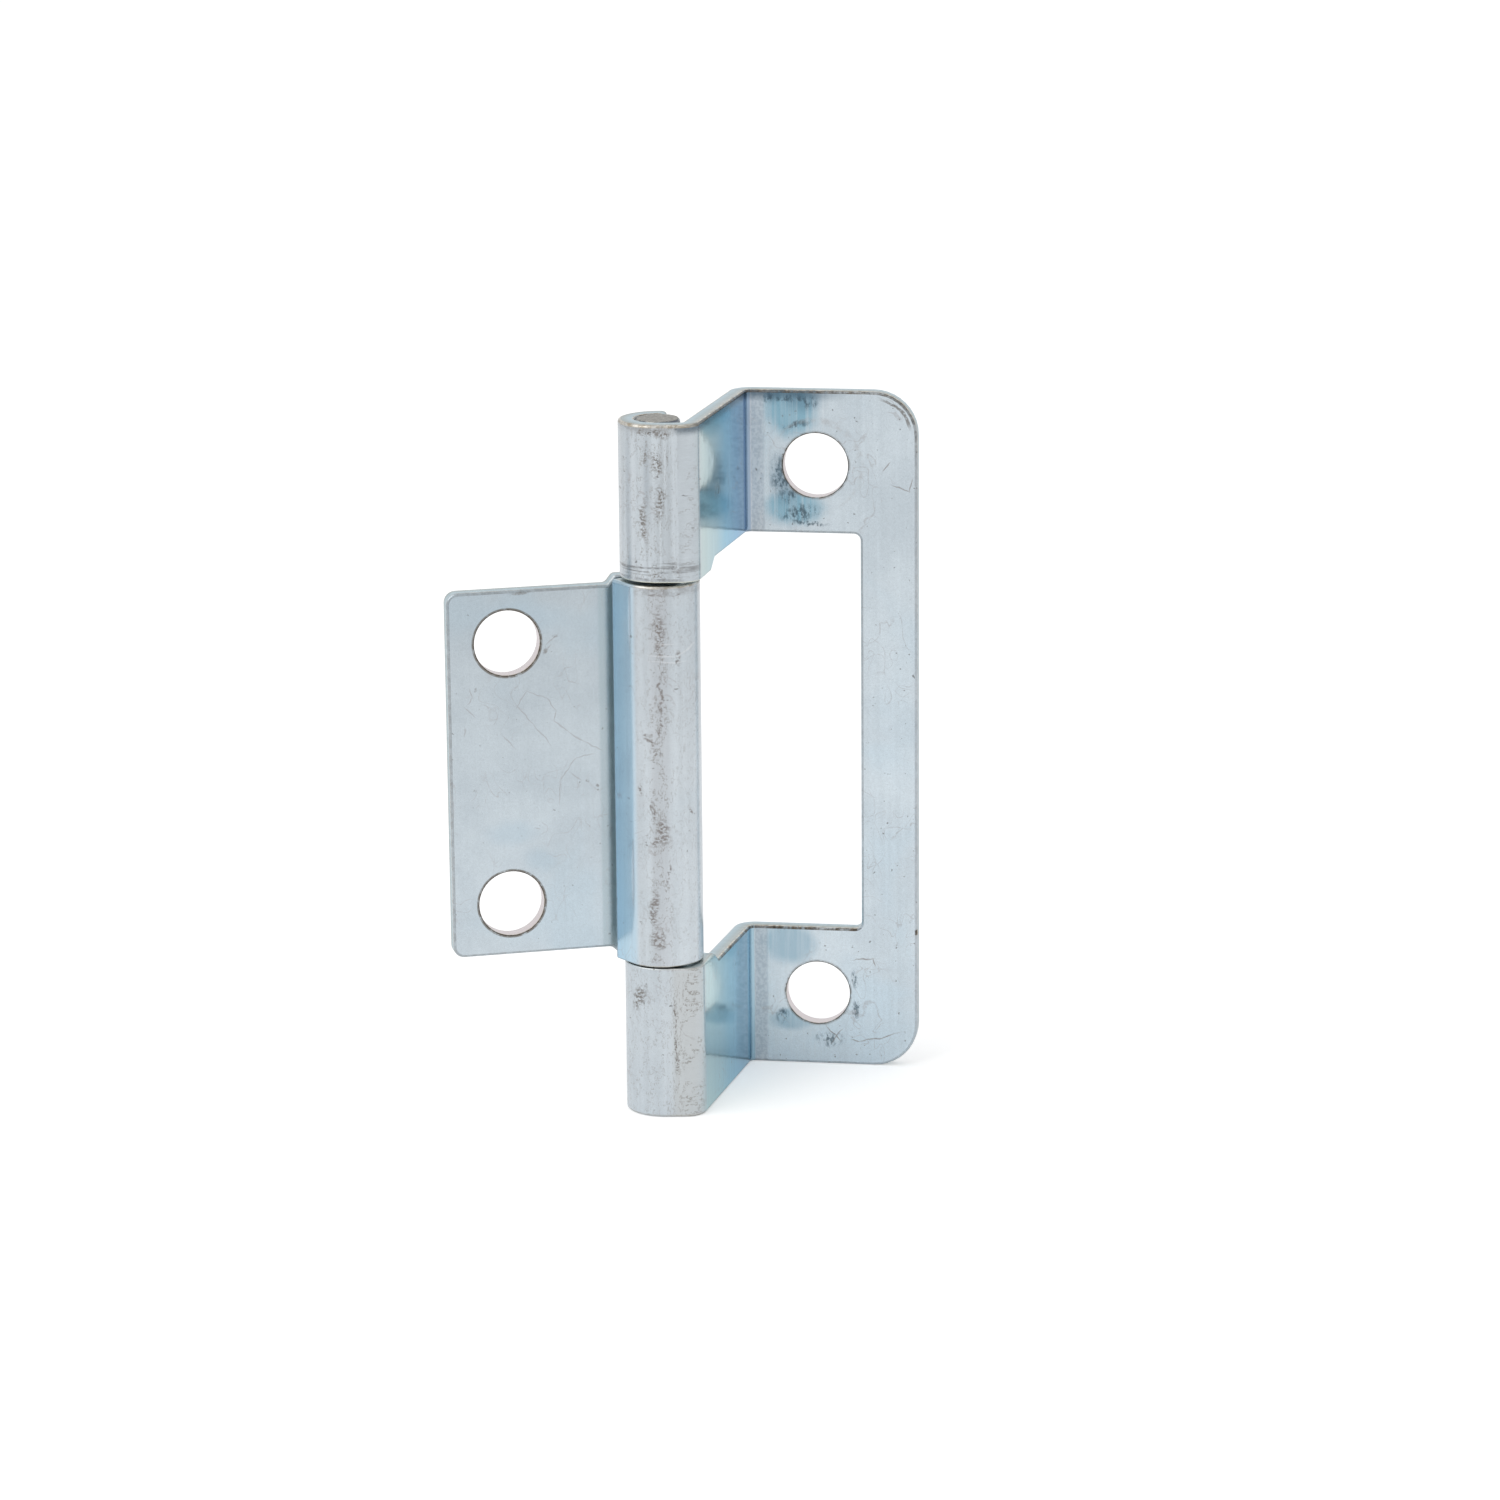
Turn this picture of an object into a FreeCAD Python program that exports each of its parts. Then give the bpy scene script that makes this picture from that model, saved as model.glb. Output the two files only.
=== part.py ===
import FreeCAD, Part

import math
import os

import Sketcher

# A cranked flush hinge in pressed sheet steel, in millimetres. The barrel axis
# is the Z axis and the hinge stands on Z = 0. The cranked leaf lies parallel to
# the XZ plane, behind the barrel, and the small leaf points the other way.

# Every driving dimension: its name, its value and what it measures.
SIZES = [
    ("hinge_height", 50.0, "overall height, knuckle end to knuckle end"),
    ("sheet_thickness", 1.2, "strip that both leaves are pressed from"),
    ("pin_diameter", 3.15, "wire of the hinge pin"),
    ("pin_chamfer", 0.15, "broken edge at both ends of the pin"),
    ("running_clearance", 0.04, "middle knuckle to pin, on the radius"),
    ("knuckle_length", 11.0, "each outer knuckle, along the axis"),
    ("lower_play", 0.1, "middle knuckle above the lower knuckle"),
    ("upper_play", 0.5, "middle knuckle below the upper knuckle"),
    ("crank_depth", 11.0, "barrel axis back to the cranked leaf's front face"),
    ("crank_angle", 83.0, "crank to leaf, seen from above"),
    ("crank_offset", 3.25, "barrel axis to the crank's outer face"),
    ("crank_bend_radius", 0.4, "inside radius where crank meets leaf"),
    ("front_angle", 8.0, "flat front of an outer knuckle to the leaf plane"),
    ("front_radius", 1.5, "outside radius where crank turns into knuckle"),
    ("curl_end_angle", 85.0, "where the outer knuckles' curl stops"),
    ("leaf_reach", 16.85, "barrel axis to the cranked leaf's outer edge"),
    ("leaf_corner", 3.2, "outer corners of the cranked leaf"),
    ("arm_height", 10.35, "each arm of the cranked leaf, above and below the window"),
    ("bar_width", 4.1, "upright bar that joins the arms"),
    ("window_corner", 0.5, "corners of the window at the bar"),
    ("shoulder_start", 1.6, "barrel axis back to the knuckle's shoulder"),
    ("shoulder_run", 1.0, "length of the shoulder's slope"),
    ("screw_hole", 4.8, "diameter of all four screw holes"),
    ("arm_hole_edge", 7.3, "arm screw hole in from the leaf's outer edge"),
    ("arm_hole_end", 5.4, "arm screw hole in from the hinge's end"),
    ("small_reach", 14.85, "barrel axis to the small leaf's outer edge"),
    ("small_corner", 0.8, "outer corners of the small leaf"),
    ("small_inset", 0.5, "small leaf set in from its knuckle, each end"),
    ("inset_start", 2.9, "barrel axis to where the leaf is set in"),
    ("inset_run", 0.5, "length of the slope there"),
    ("small_hole_edge", 4.25, "small leaf's screw holes in from its outer edge"),
    ("small_hole_end", 4.25, "small leaf's screw holes in from the knuckle's ends"),
    ("tail_length", 1.9, "straight end of the middle knuckle's curl"),
    ("tail_gap", 0.55, "that end to the small leaf's front face"),
    ("rest_angle", 21.5, "small leaf swung forward of the straight position"),
]
SIZE = {name: value for name, value, meaning in SIZES}

# Rules that several features share.
PIN_RADIUS = "Sizes.pin_diameter / 2"
BORE_RADIUS = "(Sizes.pin_diameter / 2 + Sizes.running_clearance)"
UPPER_KNUCKLE = "(Sizes.hinge_height - Sizes.knuckle_length)"
UPPER_ARM = "(Sizes.hinge_height - Sizes.arm_height)"
MIDDLE_LENGTH = ("(Sizes.hinge_height - 2 * Sizes.knuckle_length"
                 " - Sizes.lower_play - Sizes.upper_play)")
FLAT_START = "CrankProfile.Constraints.flat_start"

doc = FreeCAD.newDocument("flush_hinge")


# The sheet of sizes

def make_sheet():
    """One row a size: what it measures, then its value under its alias."""
    sheet = doc.addObject("Spreadsheet::Sheet", "Sizes")
    for row, (name, value, meaning) in enumerate(SIZES, start=1):
        sheet.set(f"A{row}", meaning)
        sheet.set(f"B{row}", str(value))
        sheet.setAlias(f"B{row}", name)
    doc.recompute()


# Bodies and sketches

def make_body(name):
    body = doc.addObject("PartDesign::Body", name)
    body.Label = name
    return body


def make_sketch(body, name, plane):
    """An empty sketch on one of the body's own origin planes."""
    sketch = body.newObject("Sketcher::SketchObject", name)
    support = next(f for f in body.Origin.OriginFeatures if f.Role == plane)
    sketch.AttachmentSupport = [(support, "")]
    sketch.MapMode = "FlatFace"
    return sketch


def at(x, y):
    return FreeCAD.Vector(x, y, 0)


def polar(radius, degrees):
    angle = math.radians(degrees)
    return at(radius * math.cos(angle), radius * math.sin(angle))


def add_line(sketch, start, end):
    return sketch.addGeometry(Part.LineSegment(start, end), False)


def add_arc(sketch, centre, radius, first, last):
    """An arc that runs anticlockwise from one angle to the other, in degrees."""
    circle = Part.Circle(centre, UPWARDS, radius)
    arc = Part.ArcOfCircle(circle, math.radians(first), math.radians(last))
    return sketch.addGeometry(arc, False)


# A sketch's own origin, and the points of a line or an arc.
ORIGIN = (-1, 1)
START, END, CENTRE = 1, 2, 3
UPWARDS = FreeCAD.Vector(0, 0, 1)


def fix(sketch, *constraint):
    """A constraint with no size of its own, such as Horizontal or Parallel."""
    sketch.addConstraint(Sketcher.Constraint(*constraint))


def smooth(sketch, first, second):
    """Two ends meet and run on in the same direction."""
    fix(sketch, "Tangent", *first, *second)


def meet(sketch, first, second):
    fix(sketch, "Coincident", *first, *second)


def worth(rule):
    """The number that a rule gives with the sheet's present values."""
    result = doc.Sizes.evalExpression(rule)
    return getattr(result, "Value", result)


def bind(sketch, name, rule, kind, *places):
    """A named dimension whose value follows the sheet by the rule."""
    value = worth(rule)
    if kind == "Angle":
        value = math.radians(value)
    index = sketch.addConstraint(Sketcher.Constraint(kind, *places, value))
    sketch.renameConstraint(index, name)
    sketch.setExpression(f"Constraints.{name}", rule)


def place(sketch, name, point, x_rule, y_rule):
    """Set one point by its distances from the sketch's origin."""
    bind(sketch, f"{name}_x", x_rule, "DistanceX", *ORIGIN, *point)
    bind(sketch, f"{name}_y", y_rule, "DistanceY", *ORIGIN, *point)


def polygon(sketch, name, corners):
    """A closed outline of straight sides, each corner set by its two rules."""
    points = [at(worth(x_rule), worth(y_rule)) for x_rule, y_rule in corners]
    sides = [add_line(sketch, point, after)
             for point, after in zip(points, points[1:] + points[:1])]
    for side, after in zip(sides, sides[1:] + sides[:1]):
        meet(sketch, (side, END), (after, START))
    for number, (side, corner) in enumerate(zip(sides, corners)):
        place(sketch, f"{name}_{number}", (side, START), *corner)


def rectangle(sketch, name, left, right, low, high):
    polygon(sketch, name, [(left, low), (right, low), (right, high), (left, high)])


# Features

def pad(body, sketch, name, length):
    feature = body.newObject("PartDesign::Pad", name)
    feature.Profile = sketch
    feature.setExpression("Length", length)
    doc.recompute()
    return feature


def pocket(body, sketch, name, side="Symmetric", towards=None, length=None):
    """Cut the sketch's outline through the body, or as deep as length says."""
    before = body.Tip.Shape.Volume
    feature = body.newObject("PartDesign::Pocket", name)
    feature.Profile = sketch
    feature.SideType = side
    if length is None:
        feature.Type = "ThroughAll"
    else:
        feature.Type = "Length"
        feature.setExpression("Length", length)
    if towards is not None:
        feature.UseCustomVector = True
        feature.Direction = towards
    doc.recompute()
    if not feature.Shape.Volume < before:
        raise RuntimeError(f"{name} cuts nothing")


def runs_through(edge, x, z):
    """True for an edge that runs straight front to back at this reach and height."""
    ends = [vertex.Point for vertex in edge.Vertexes]
    return len(ends) == 2 and all(math.hypot(end.x - x, end.z - z) < 1e-4 for end in ends)


def round_corners(body, name, radius, reach, heights):
    """Round the front-to-back edges at one reach and at each of these heights."""
    base = body.Tip
    edges = [f"Edge{number}" for number, edge in enumerate(base.Shape.Edges, start=1)
             if any(runs_through(edge, worth(reach), worth(height)) for height in heights)]
    if len(edges) != len(heights):
        raise RuntimeError(f"{name} found {len(edges)} edges")
    fillet = body.newObject("PartDesign::Fillet", name)
    fillet.Base = (base, edges)
    fillet.setExpression("Radius", radius)
    doc.recompute()


# The cranked leaf: one strip, folded back from the barrel to the leaf

def crank_outline(body):
    """The strip's edge seen from above: leaf, bend, crank, flat front and curl.

    The crank meets the knuckle off the barrel's circle, so its outer face is
    placed by its own distance from the axis and turns into the flat front
    through a radius. The curl stops short of the crank at the back.
    """
    sketch = make_sketch(body, "CrankProfile", "XY_Plane")
    thickness = SIZE["sheet_thickness"]
    inner = SIZE["pin_diameter"] / 2
    outer = inner + thickness
    depth = SIZE["crank_depth"]
    reach = SIZE["leaf_reach"]
    bend = SIZE["crank_bend_radius"]
    corner = SIZE["front_radius"]
    end_angle = SIZE["curl_end_angle"]
    crank_out = SIZE["crank_angle"] - 90
    front_out = SIZE["front_angle"] - 90
    crank_normal = polar(1, crank_out)
    front_normal = polar(1, front_out)

    # Centres of the two bends, each a set distance inside two straight faces.
    bend_y = depth - bend
    bend_x = (SIZE["crank_offset"] + bend - bend_y * crank_normal.y) / crank_normal.x
    bend_centre = at(bend_x, bend_y)
    from_crank = SIZE["crank_offset"] - corner
    from_front = outer - corner
    spread = crank_normal.x * front_normal.y - crank_normal.y * front_normal.x
    corner_x = (from_crank * front_normal.y - from_front * crank_normal.y) / spread
    corner_y = (from_front * crank_normal.x - from_crank * front_normal.x) / spread
    corner_centre = at(corner_x, corner_y)

    def face_of_strip(knuckle_radius, corner_radius, bend_radius, leaf_y):
        """One face of the strip, from the curl's end to the leaf's edge."""
        curl = add_arc(sketch, at(0, 0), knuckle_radius, end_angle, front_out + 360)
        flat = add_line(sketch, front_normal * knuckle_radius,
                        corner_centre + front_normal * corner_radius)
        turn = add_arc(sketch, corner_centre, corner_radius, front_out, crank_out)
        crank = add_line(sketch, corner_centre + crank_normal * corner_radius,
                         bend_centre - crank_normal * bend_radius)
        fold = add_arc(sketch, bend_centre, bend_radius, 90, crank_out + 180)
        leaf = add_line(sketch, at(bend_x, leaf_y), at(reach, leaf_y))
        smooth(sketch, (curl, END), (flat, START))
        smooth(sketch, (flat, END), (turn, START))
        smooth(sketch, (turn, END), (crank, START))
        smooth(sketch, (crank, END), (fold, END))
        smooth(sketch, (fold, START), (leaf, START))
        meet(sketch, (curl, CENTRE), ORIGIN)
        fix(sketch, "Horizontal", leaf)
        return curl, flat, turn, crank, fold, leaf

    front = face_of_strip(outer, corner, bend, depth)
    back = face_of_strip(inner, corner - thickness, bend + thickness, depth + thickness)
    curl, flat, turn, crank, fold, leaf = front
    inner_curl, inner_flat, inner_turn, inner_crank, inner_fold, inner_leaf = back
    curl_end = add_line(sketch, polar(inner, end_angle), polar(outer, end_angle))
    leaf_edge = add_line(sketch, at(reach, depth), at(reach, depth + thickness))
    meet(sketch, (curl_end, START), (inner_curl, START))
    meet(sketch, (curl_end, END), (curl, START))
    meet(sketch, (leaf_edge, START), (leaf, END))
    meet(sketch, (leaf_edge, END), (inner_leaf, END))
    meet(sketch, (turn, CENTRE), (inner_turn, CENTRE))
    meet(sketch, (fold, CENTRE), (inner_fold, CENTRE))
    fix(sketch, "Vertical", leaf_edge)
    fix(sketch, "PointOnObject", *ORIGIN, curl_end)

    bind(sketch, "curl_bore", PIN_RADIUS, "Radius", inner_curl)
    bind(sketch, "curl_outside", f"{PIN_RADIUS} + Sizes.sheet_thickness", "Radius", curl)
    bind(sketch, "corner_outside", "Sizes.front_radius", "Radius", turn)
    bind(sketch, "corner_inside", "Sizes.front_radius - Sizes.sheet_thickness",
         "Radius", inner_turn)
    bind(sketch, "bend_inside", "Sizes.crank_bend_radius", "Radius", fold)
    bind(sketch, "bend_outside", "Sizes.crank_bend_radius + Sizes.sheet_thickness",
         "Radius", inner_fold)
    place(sketch, "leaf_end", (leaf, END), "Sizes.leaf_reach", "Sizes.crank_depth")
    bind(sketch, "offset", "Sizes.crank_offset", "Distance", *ORIGIN, crank)
    bind(sketch, "crank_angle", "Sizes.crank_angle * 1 deg", "Angle", crank)
    bind(sketch, "front_angle", "Sizes.front_angle * 1 deg", "Angle", flat)
    bind(sketch, "end_angle", "Sizes.curl_end_angle * 1 deg", "Angle", curl_end)

    # Where the flat leaf begins, measured for the openings that follow.
    flat_start = sketch.addConstraint(
        Sketcher.Constraint("DistanceX", *ORIGIN, fold, CENTRE, bend_x))
    sketch.setDriving(flat_start, False)
    sketch.renameConstraint(flat_start, "flat_start")
    doc.recompute()
    return sketch


def open_knuckles(body):
    """Cut the curl between the two outer knuckles, up to the pin's right side."""
    sketch = make_sketch(body, "CurlGap", "XZ_Plane")
    rectangle(sketch, "gap", "-Sizes.pin_diameter - Sizes.sheet_thickness", PIN_RADIUS,
              "Sizes.knuckle_length", UPPER_KNUCKLE)
    pocket(body, sketch, "CurlOpening")


def open_crank(body):
    """Cut the front and the crank, with a sloped shoulder at each knuckle."""
    sketch = make_sketch(body, "CrankGap", "YZ_Plane")
    sketch.setExpression("AttachmentOffset.Base.z", PIN_RADIUS)
    front = "-Sizes.pin_diameter - Sizes.sheet_thickness"
    slope_end = "Sizes.shoulder_start + Sizes.shoulder_run"
    behind = "Sizes.crank_depth + 2 * Sizes.sheet_thickness"
    polygon(sketch, "gap", [
        (front, "Sizes.knuckle_length"),
        ("Sizes.shoulder_start", "Sizes.knuckle_length"),
        (slope_end, "Sizes.arm_height"),
        (behind, "Sizes.arm_height"),
        (behind, UPPER_ARM),
        (slope_end, UPPER_ARM),
        ("Sizes.shoulder_start", UPPER_KNUCKLE),
        (front, UPPER_KNUCKLE),
    ])
    pocket(body, sketch, "CrankOpening", side="One side", towards=FreeCAD.Vector(1, 0, 0),
           length=f"{FLAT_START} - {PIN_RADIUS} * 1 mm")


def open_window(body):
    """Cut the flat leaf from the bend to the upright bar."""
    sketch = make_sketch(body, "WindowOutline", "XZ_Plane")
    bar = "Sizes.leaf_reach - Sizes.bar_width"
    rectangle(sketch, "window", FLAT_START, bar, "Sizes.arm_height", UPPER_ARM)
    pocket(body, sketch, "Window")
    round_corners(body, "WindowCorners", "Sizes.window_corner",
                  bar, ["Sizes.arm_height", UPPER_ARM])


def drill_pair(body, reach, low, high):
    """Two screw holes, one above the other, through a leaf."""
    sketch = make_sketch(body, f"{body.Name}_holes", "XZ_Plane")
    for level, height in (("low", low), ("high", high)):
        circle = Part.Circle(at(worth(reach), worth(height)), UPWARDS,
                             SIZE["screw_hole"] / 2)
        hole = sketch.addGeometry(circle, False)
        bind(sketch, f"{level}_hole", "Sizes.screw_hole", "Diameter", hole)
        place(sketch, level, (hole, CENTRE), reach, height)
    pocket(body, sketch, f"{body.Name}_screw_holes")


def make_cranked_leaf():
    body = make_body("cranked_leaf")
    pad(body, crank_outline(body), "CrankStrip", "Sizes.hinge_height")
    open_knuckles(body)
    open_crank(body)
    open_window(body)
    round_corners(body, "LeafCorners", "Sizes.leaf_corner",
                  "Sizes.leaf_reach", ["0 mm", "Sizes.hinge_height"])
    drill_pair(body, "Sizes.leaf_reach - Sizes.arm_hole_edge",
               "Sizes.arm_hole_end", "Sizes.hinge_height - Sizes.arm_hole_end")
    return body


# The small leaf: one strip whose knuckle curls round the pin from behind

def small_outline(body):
    """The strip's edge seen from above, with the leaf pointing along -X.

    The leaf's back face touches the back of the barrel. The curl goes round
    the right and the front, and its last stretch is straight and stops short
    of the leaf's front face.
    """
    sketch = make_sketch(body, "SmallProfile", "XY_Plane")
    inner = SIZE["pin_diameter"] / 2 + SIZE["running_clearance"]
    outer = inner + SIZE["sheet_thickness"]
    reach = SIZE["small_reach"]
    tail = SIZE["tail_length"]
    gap = SIZE["tail_gap"]

    # The curl leaves the circle where its straight end stops at the set gap.
    lean = math.degrees(math.atan2(tail, inner))
    rise = math.degrees(math.asin((inner - gap) / math.hypot(inner, tail)))
    leave = lean + 180 - rise
    along = polar(tail, leave - 90)

    def face_of_strip(radius):
        curl = add_arc(sketch, at(0, 0), radius, leave, 450)
        straight = add_line(sketch, polar(radius, leave), polar(radius, leave) + along)
        leaf = add_line(sketch, at(0, radius), at(-reach, radius))
        smooth(sketch, (curl, START), (straight, START))
        smooth(sketch, (curl, END), (leaf, START))
        meet(sketch, (curl, CENTRE), ORIGIN)
        fix(sketch, "Horizontal", leaf)
        return curl, straight, leaf

    curl, straight, leaf = face_of_strip(outer)
    inner_curl, inner_straight, inner_leaf = face_of_strip(inner)
    tail_end = add_line(sketch, polar(inner, leave) + along, polar(outer, leave) + along)
    leaf_edge = add_line(sketch, at(-reach, inner), at(-reach, outer))
    meet(sketch, (tail_end, START), (inner_straight, END))
    meet(sketch, (tail_end, END), (straight, END))
    meet(sketch, (leaf_edge, START), (inner_leaf, END))
    meet(sketch, (leaf_edge, END), (leaf, END))
    fix(sketch, "Vertical", leaf_edge)
    fix(sketch, "Parallel", straight, inner_straight)
    fix(sketch, "Perpendicular", tail_end, straight)

    bind(sketch, "bore", BORE_RADIUS, "Radius", inner_curl)
    bind(sketch, "outside", f"{BORE_RADIUS} + Sizes.sheet_thickness", "Radius", curl)
    bind(sketch, "reach", "-Sizes.small_reach", "DistanceX", *ORIGIN, leaf, END)
    bind(sketch, "tail_length", "Sizes.tail_length", "Distance", straight)
    bind(sketch, "tail_gap", "Sizes.tail_gap", "Distance", inner_straight, END, inner_leaf)
    doc.recompute()
    return sketch


def inset_ends(body):
    """Set the leaf's ends in from the knuckle's, leaving the curl full length."""
    sketch = make_sketch(body, "EndInsets", "XZ_Plane")
    sketch.setExpression("AttachmentOffset.Base.z", f"-{BORE_RADIUS}")
    start = "-Sizes.inset_start"
    slope_end = "-Sizes.inset_start - Sizes.inset_run"
    beyond = "-Sizes.small_reach - Sizes.sheet_thickness"
    ends = (("low", "-Sizes.sheet_thickness", "0 mm", "Sizes.small_inset"),
            ("high", f"{MIDDLE_LENGTH} + Sizes.sheet_thickness", MIDDLE_LENGTH,
             f"{MIDDLE_LENGTH} - Sizes.small_inset"))
    for level, clear, edge, inset in ends:
        polygon(sketch, level, [(start, clear), (start, edge), (slope_end, inset),
                                (beyond, inset), (beyond, clear)])
    pocket(body, sketch, "LeafInsets", side="One side", towards=FreeCAD.Vector(0, 1, 0))


def make_small_leaf():
    body = make_body("small_leaf")
    pad(body, small_outline(body), "SmallStrip", MIDDLE_LENGTH)
    inset_ends(body)
    round_corners(body, "SmallCorners", "Sizes.small_corner", "-Sizes.small_reach",
                  ["Sizes.small_inset", f"{MIDDLE_LENGTH} - Sizes.small_inset"])
    drill_pair(body, "Sizes.small_hole_edge - Sizes.small_reach",
               "Sizes.small_hole_end", f"{MIDDLE_LENGTH} - Sizes.small_hole_end")
    body.setExpression("Placement.Base.z", "Sizes.knuckle_length + Sizes.lower_play")
    body.setExpression("Placement.Rotation.Angle", "Sizes.rest_angle * 1 deg")
    return body


# The pin: a cut of wire, held by the outer knuckles and flush with their ends

def make_pin():
    body = make_body("hinge_pin")
    sketch = make_sketch(body, "PinSection", "XY_Plane")
    round_wire = Part.Circle(at(0, 0), UPWARDS, SIZE["pin_diameter"] / 2)
    circle = sketch.addGeometry(round_wire, False)
    meet(sketch, (circle, CENTRE), ORIGIN)
    bind(sketch, "diameter", "Sizes.pin_diameter", "Diameter", circle)
    wire = pad(body, sketch, "Wire", "Sizes.hinge_height")
    rims = [f"Edge{number}" for number, edge in enumerate(wire.Shape.Edges, start=1)
            if edge.isClosed()]
    chamfer = body.newObject("PartDesign::Chamfer", "BrokenEdges")
    chamfer.Base = (wire, rims)
    chamfer.setExpression("Size", "Sizes.pin_chamfer")
    doc.recompute()
    return body


def check_model(bodies):
    """Stop on any failed object and on any part that isn't one valid solid."""
    for thing in doc.Objects:
        if "Invalid" in thing.State or "Error" in thing.State:
            raise RuntimeError(f"{thing.Name} failed: {thing.State}")
    for body in bodies:
        shape = body.Shape
        if shape.isNull() or not shape.isValid() or len(shape.Solids) != 1:
            raise RuntimeError(f"{body.Label} isn't one valid solid")


make_sheet()
parts = [make_cranked_leaf(), make_small_leaf(), make_pin()]
doc.recompute()
check_model(parts)
os.makedirs("parts", exist_ok=True)
for part in parts:
    part.Shape.exportStep(f"parts/{part.Label}.step")
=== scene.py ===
import math

import bmesh
import bpy
from mathutils import Matrix, Vector


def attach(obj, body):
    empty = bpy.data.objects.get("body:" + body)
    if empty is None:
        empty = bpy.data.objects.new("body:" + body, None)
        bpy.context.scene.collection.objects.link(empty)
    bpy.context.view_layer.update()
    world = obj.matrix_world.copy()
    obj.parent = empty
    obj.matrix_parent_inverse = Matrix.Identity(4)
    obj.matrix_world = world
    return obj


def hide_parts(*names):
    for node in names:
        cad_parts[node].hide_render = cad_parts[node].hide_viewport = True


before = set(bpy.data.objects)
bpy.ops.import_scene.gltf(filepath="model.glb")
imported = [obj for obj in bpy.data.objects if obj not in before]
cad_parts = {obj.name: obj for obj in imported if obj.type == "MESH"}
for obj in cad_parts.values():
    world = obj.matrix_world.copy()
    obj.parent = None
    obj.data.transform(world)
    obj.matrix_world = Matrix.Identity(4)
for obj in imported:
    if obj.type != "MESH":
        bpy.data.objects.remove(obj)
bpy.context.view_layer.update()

MM = 0.001


# The tall leaf, pressed from 1.2 mm steel strip. The flat blank is cut with its
# window and screw holes, folded twice to make the crank, and its two free ends
# are curled round the pin as the outer knuckles. Then it is zinc plated.

SHEET = 1.2
PIN_RADIUS = 1.575
HINGE_HEIGHT = 50.0
HOLE_RADIUS = 2.33
HOLE_SIDES = 48
CORNER_SIDES = 10
SMALL_CORNER_SIDES = 6
END_RUN = 24.0
EDGE_ROLL = 0.2
HOLE_ROLL = 0.08
CLEAN_CUT = 0.5
SHARP_ANGLE = 38.0
FINE_STEP = 7.5
SAME = 1e-6
SLACK = 0.02

tall = {
    "reach": 16.85, "depth": 11.0, "corner": 3.2, "arm": 10.35, "knuckle": 11.0,
    "high_knuckle": 11.12, "bar": 4.1, "window_corner": 0.5, "hole_x": 9.55,
    "hole_z": 5.4, "shoulder": 1.6, "slope": 1.0, "crank_faces": -7.0, "crank_offset": 3.25,
    "front_faces": -82.0, "front_radius": 1.5, "bend": 0.4, "curl_end": 85.0,
}


def add_object(name, data):
    made = bpy.data.objects.new(name, data)
    bpy.context.scene.collection.objects.link(made)
    return made


def ray(degrees, length=1.0):
    angle = math.radians(degrees)
    return Vector((math.cos(angle), math.sin(angle))) * length


class Fold:
    """The strip's pin side seen from above: points, and where the sheet lies from each."""

    def __init__(self):
        self.points = []
        self.outward = []
        self.lengths = []

    def to(self, point, outward):
        """Run straight on to a point, and return the length of strip up to it."""
        run = (point - self.points[-1]).length if self.points else 0.0
        if self.points and run < SAME:
            self.outward[-1] = outward
            return self.lengths[-1]
        self.lengths.append(self.lengths[-1] + run if self.points else 0.0)
        self.points.append(point)
        self.outward.append(outward)
        return self.lengths[-1]

    def arc(self, centre, radius, first, last, side=1, step=4.0):
        """Go round a centre; side is -1 where the sheet lies towards the centre."""
        count = max(2, math.ceil(abs(last - first) / step))
        for number in range(count + 1):
            angle = first + (last - first) * number / count
            self.to(centre + ray(angle, radius), ray(angle) * side)
        return self.lengths[-1]

    def rail(self, name):
        """The fold as an object of joined edges, for the Geometry Nodes to follow."""
        mesh = bpy.data.meshes.new(name)
        mesh.from_pydata([(*(point * MM), 0.0) for point in self.points],
                         [(i, i + 1) for i in range(len(self.points) - 1)], [])
        facing = mesh.attributes.new("outward", "FLOAT_VECTOR", "POINT")
        for row, way in zip(facing.data, self.outward):
            row.vector = (*way, 0.0)
        return add_object(name, mesh)


def arc_points(centre, radius, first, last, sides):
    """Corners of an arc on the flat blank, as (length, height)."""
    return [(centre[0] + radius * math.cos(math.radians(first + (last - first) * i / sides)),
             centre[1] + radius * math.sin(math.radians(first + (last - first) * i / sides)))
            for i in range(sides + 1)]


def holed_plates(run, rise, corner, sides, holes, window=()):
    """A flat leaf with two outer corners rounded and two screw holes, as three plates that
    meet on the holes' middles; a window may be cut into the middle one from its start."""
    (start, end), (low, high), half = run, rise, HOLE_SIDES // 2
    low_hole, high_hole = holes
    low_seam, high_seam = low_hole[1], high_hole[1]
    return [
        [(start, low), *arc_points((end - corner, low + corner), corner, -90, 0, sides),
         (end, low_seam), *arc_points(low_hole, HOLE_RADIUS, 0, -180, half),
         (start, low_seam)],
        [(start, low_seam), *arc_points(low_hole, HOLE_RADIUS, 180, 0, half),
         (end, low_seam), (end, high_seam), *arc_points(high_hole, HOLE_RADIUS, 0, -180, half),
         (start, high_seam), *window],
        [(start, high_seam), *arc_points(high_hole, HOLE_RADIUS, 180, 0, half),
         (end, high_seam), *arc_points((end - corner, high - corner), corner, 0, 90, sides),
         (start, high)]]


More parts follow.
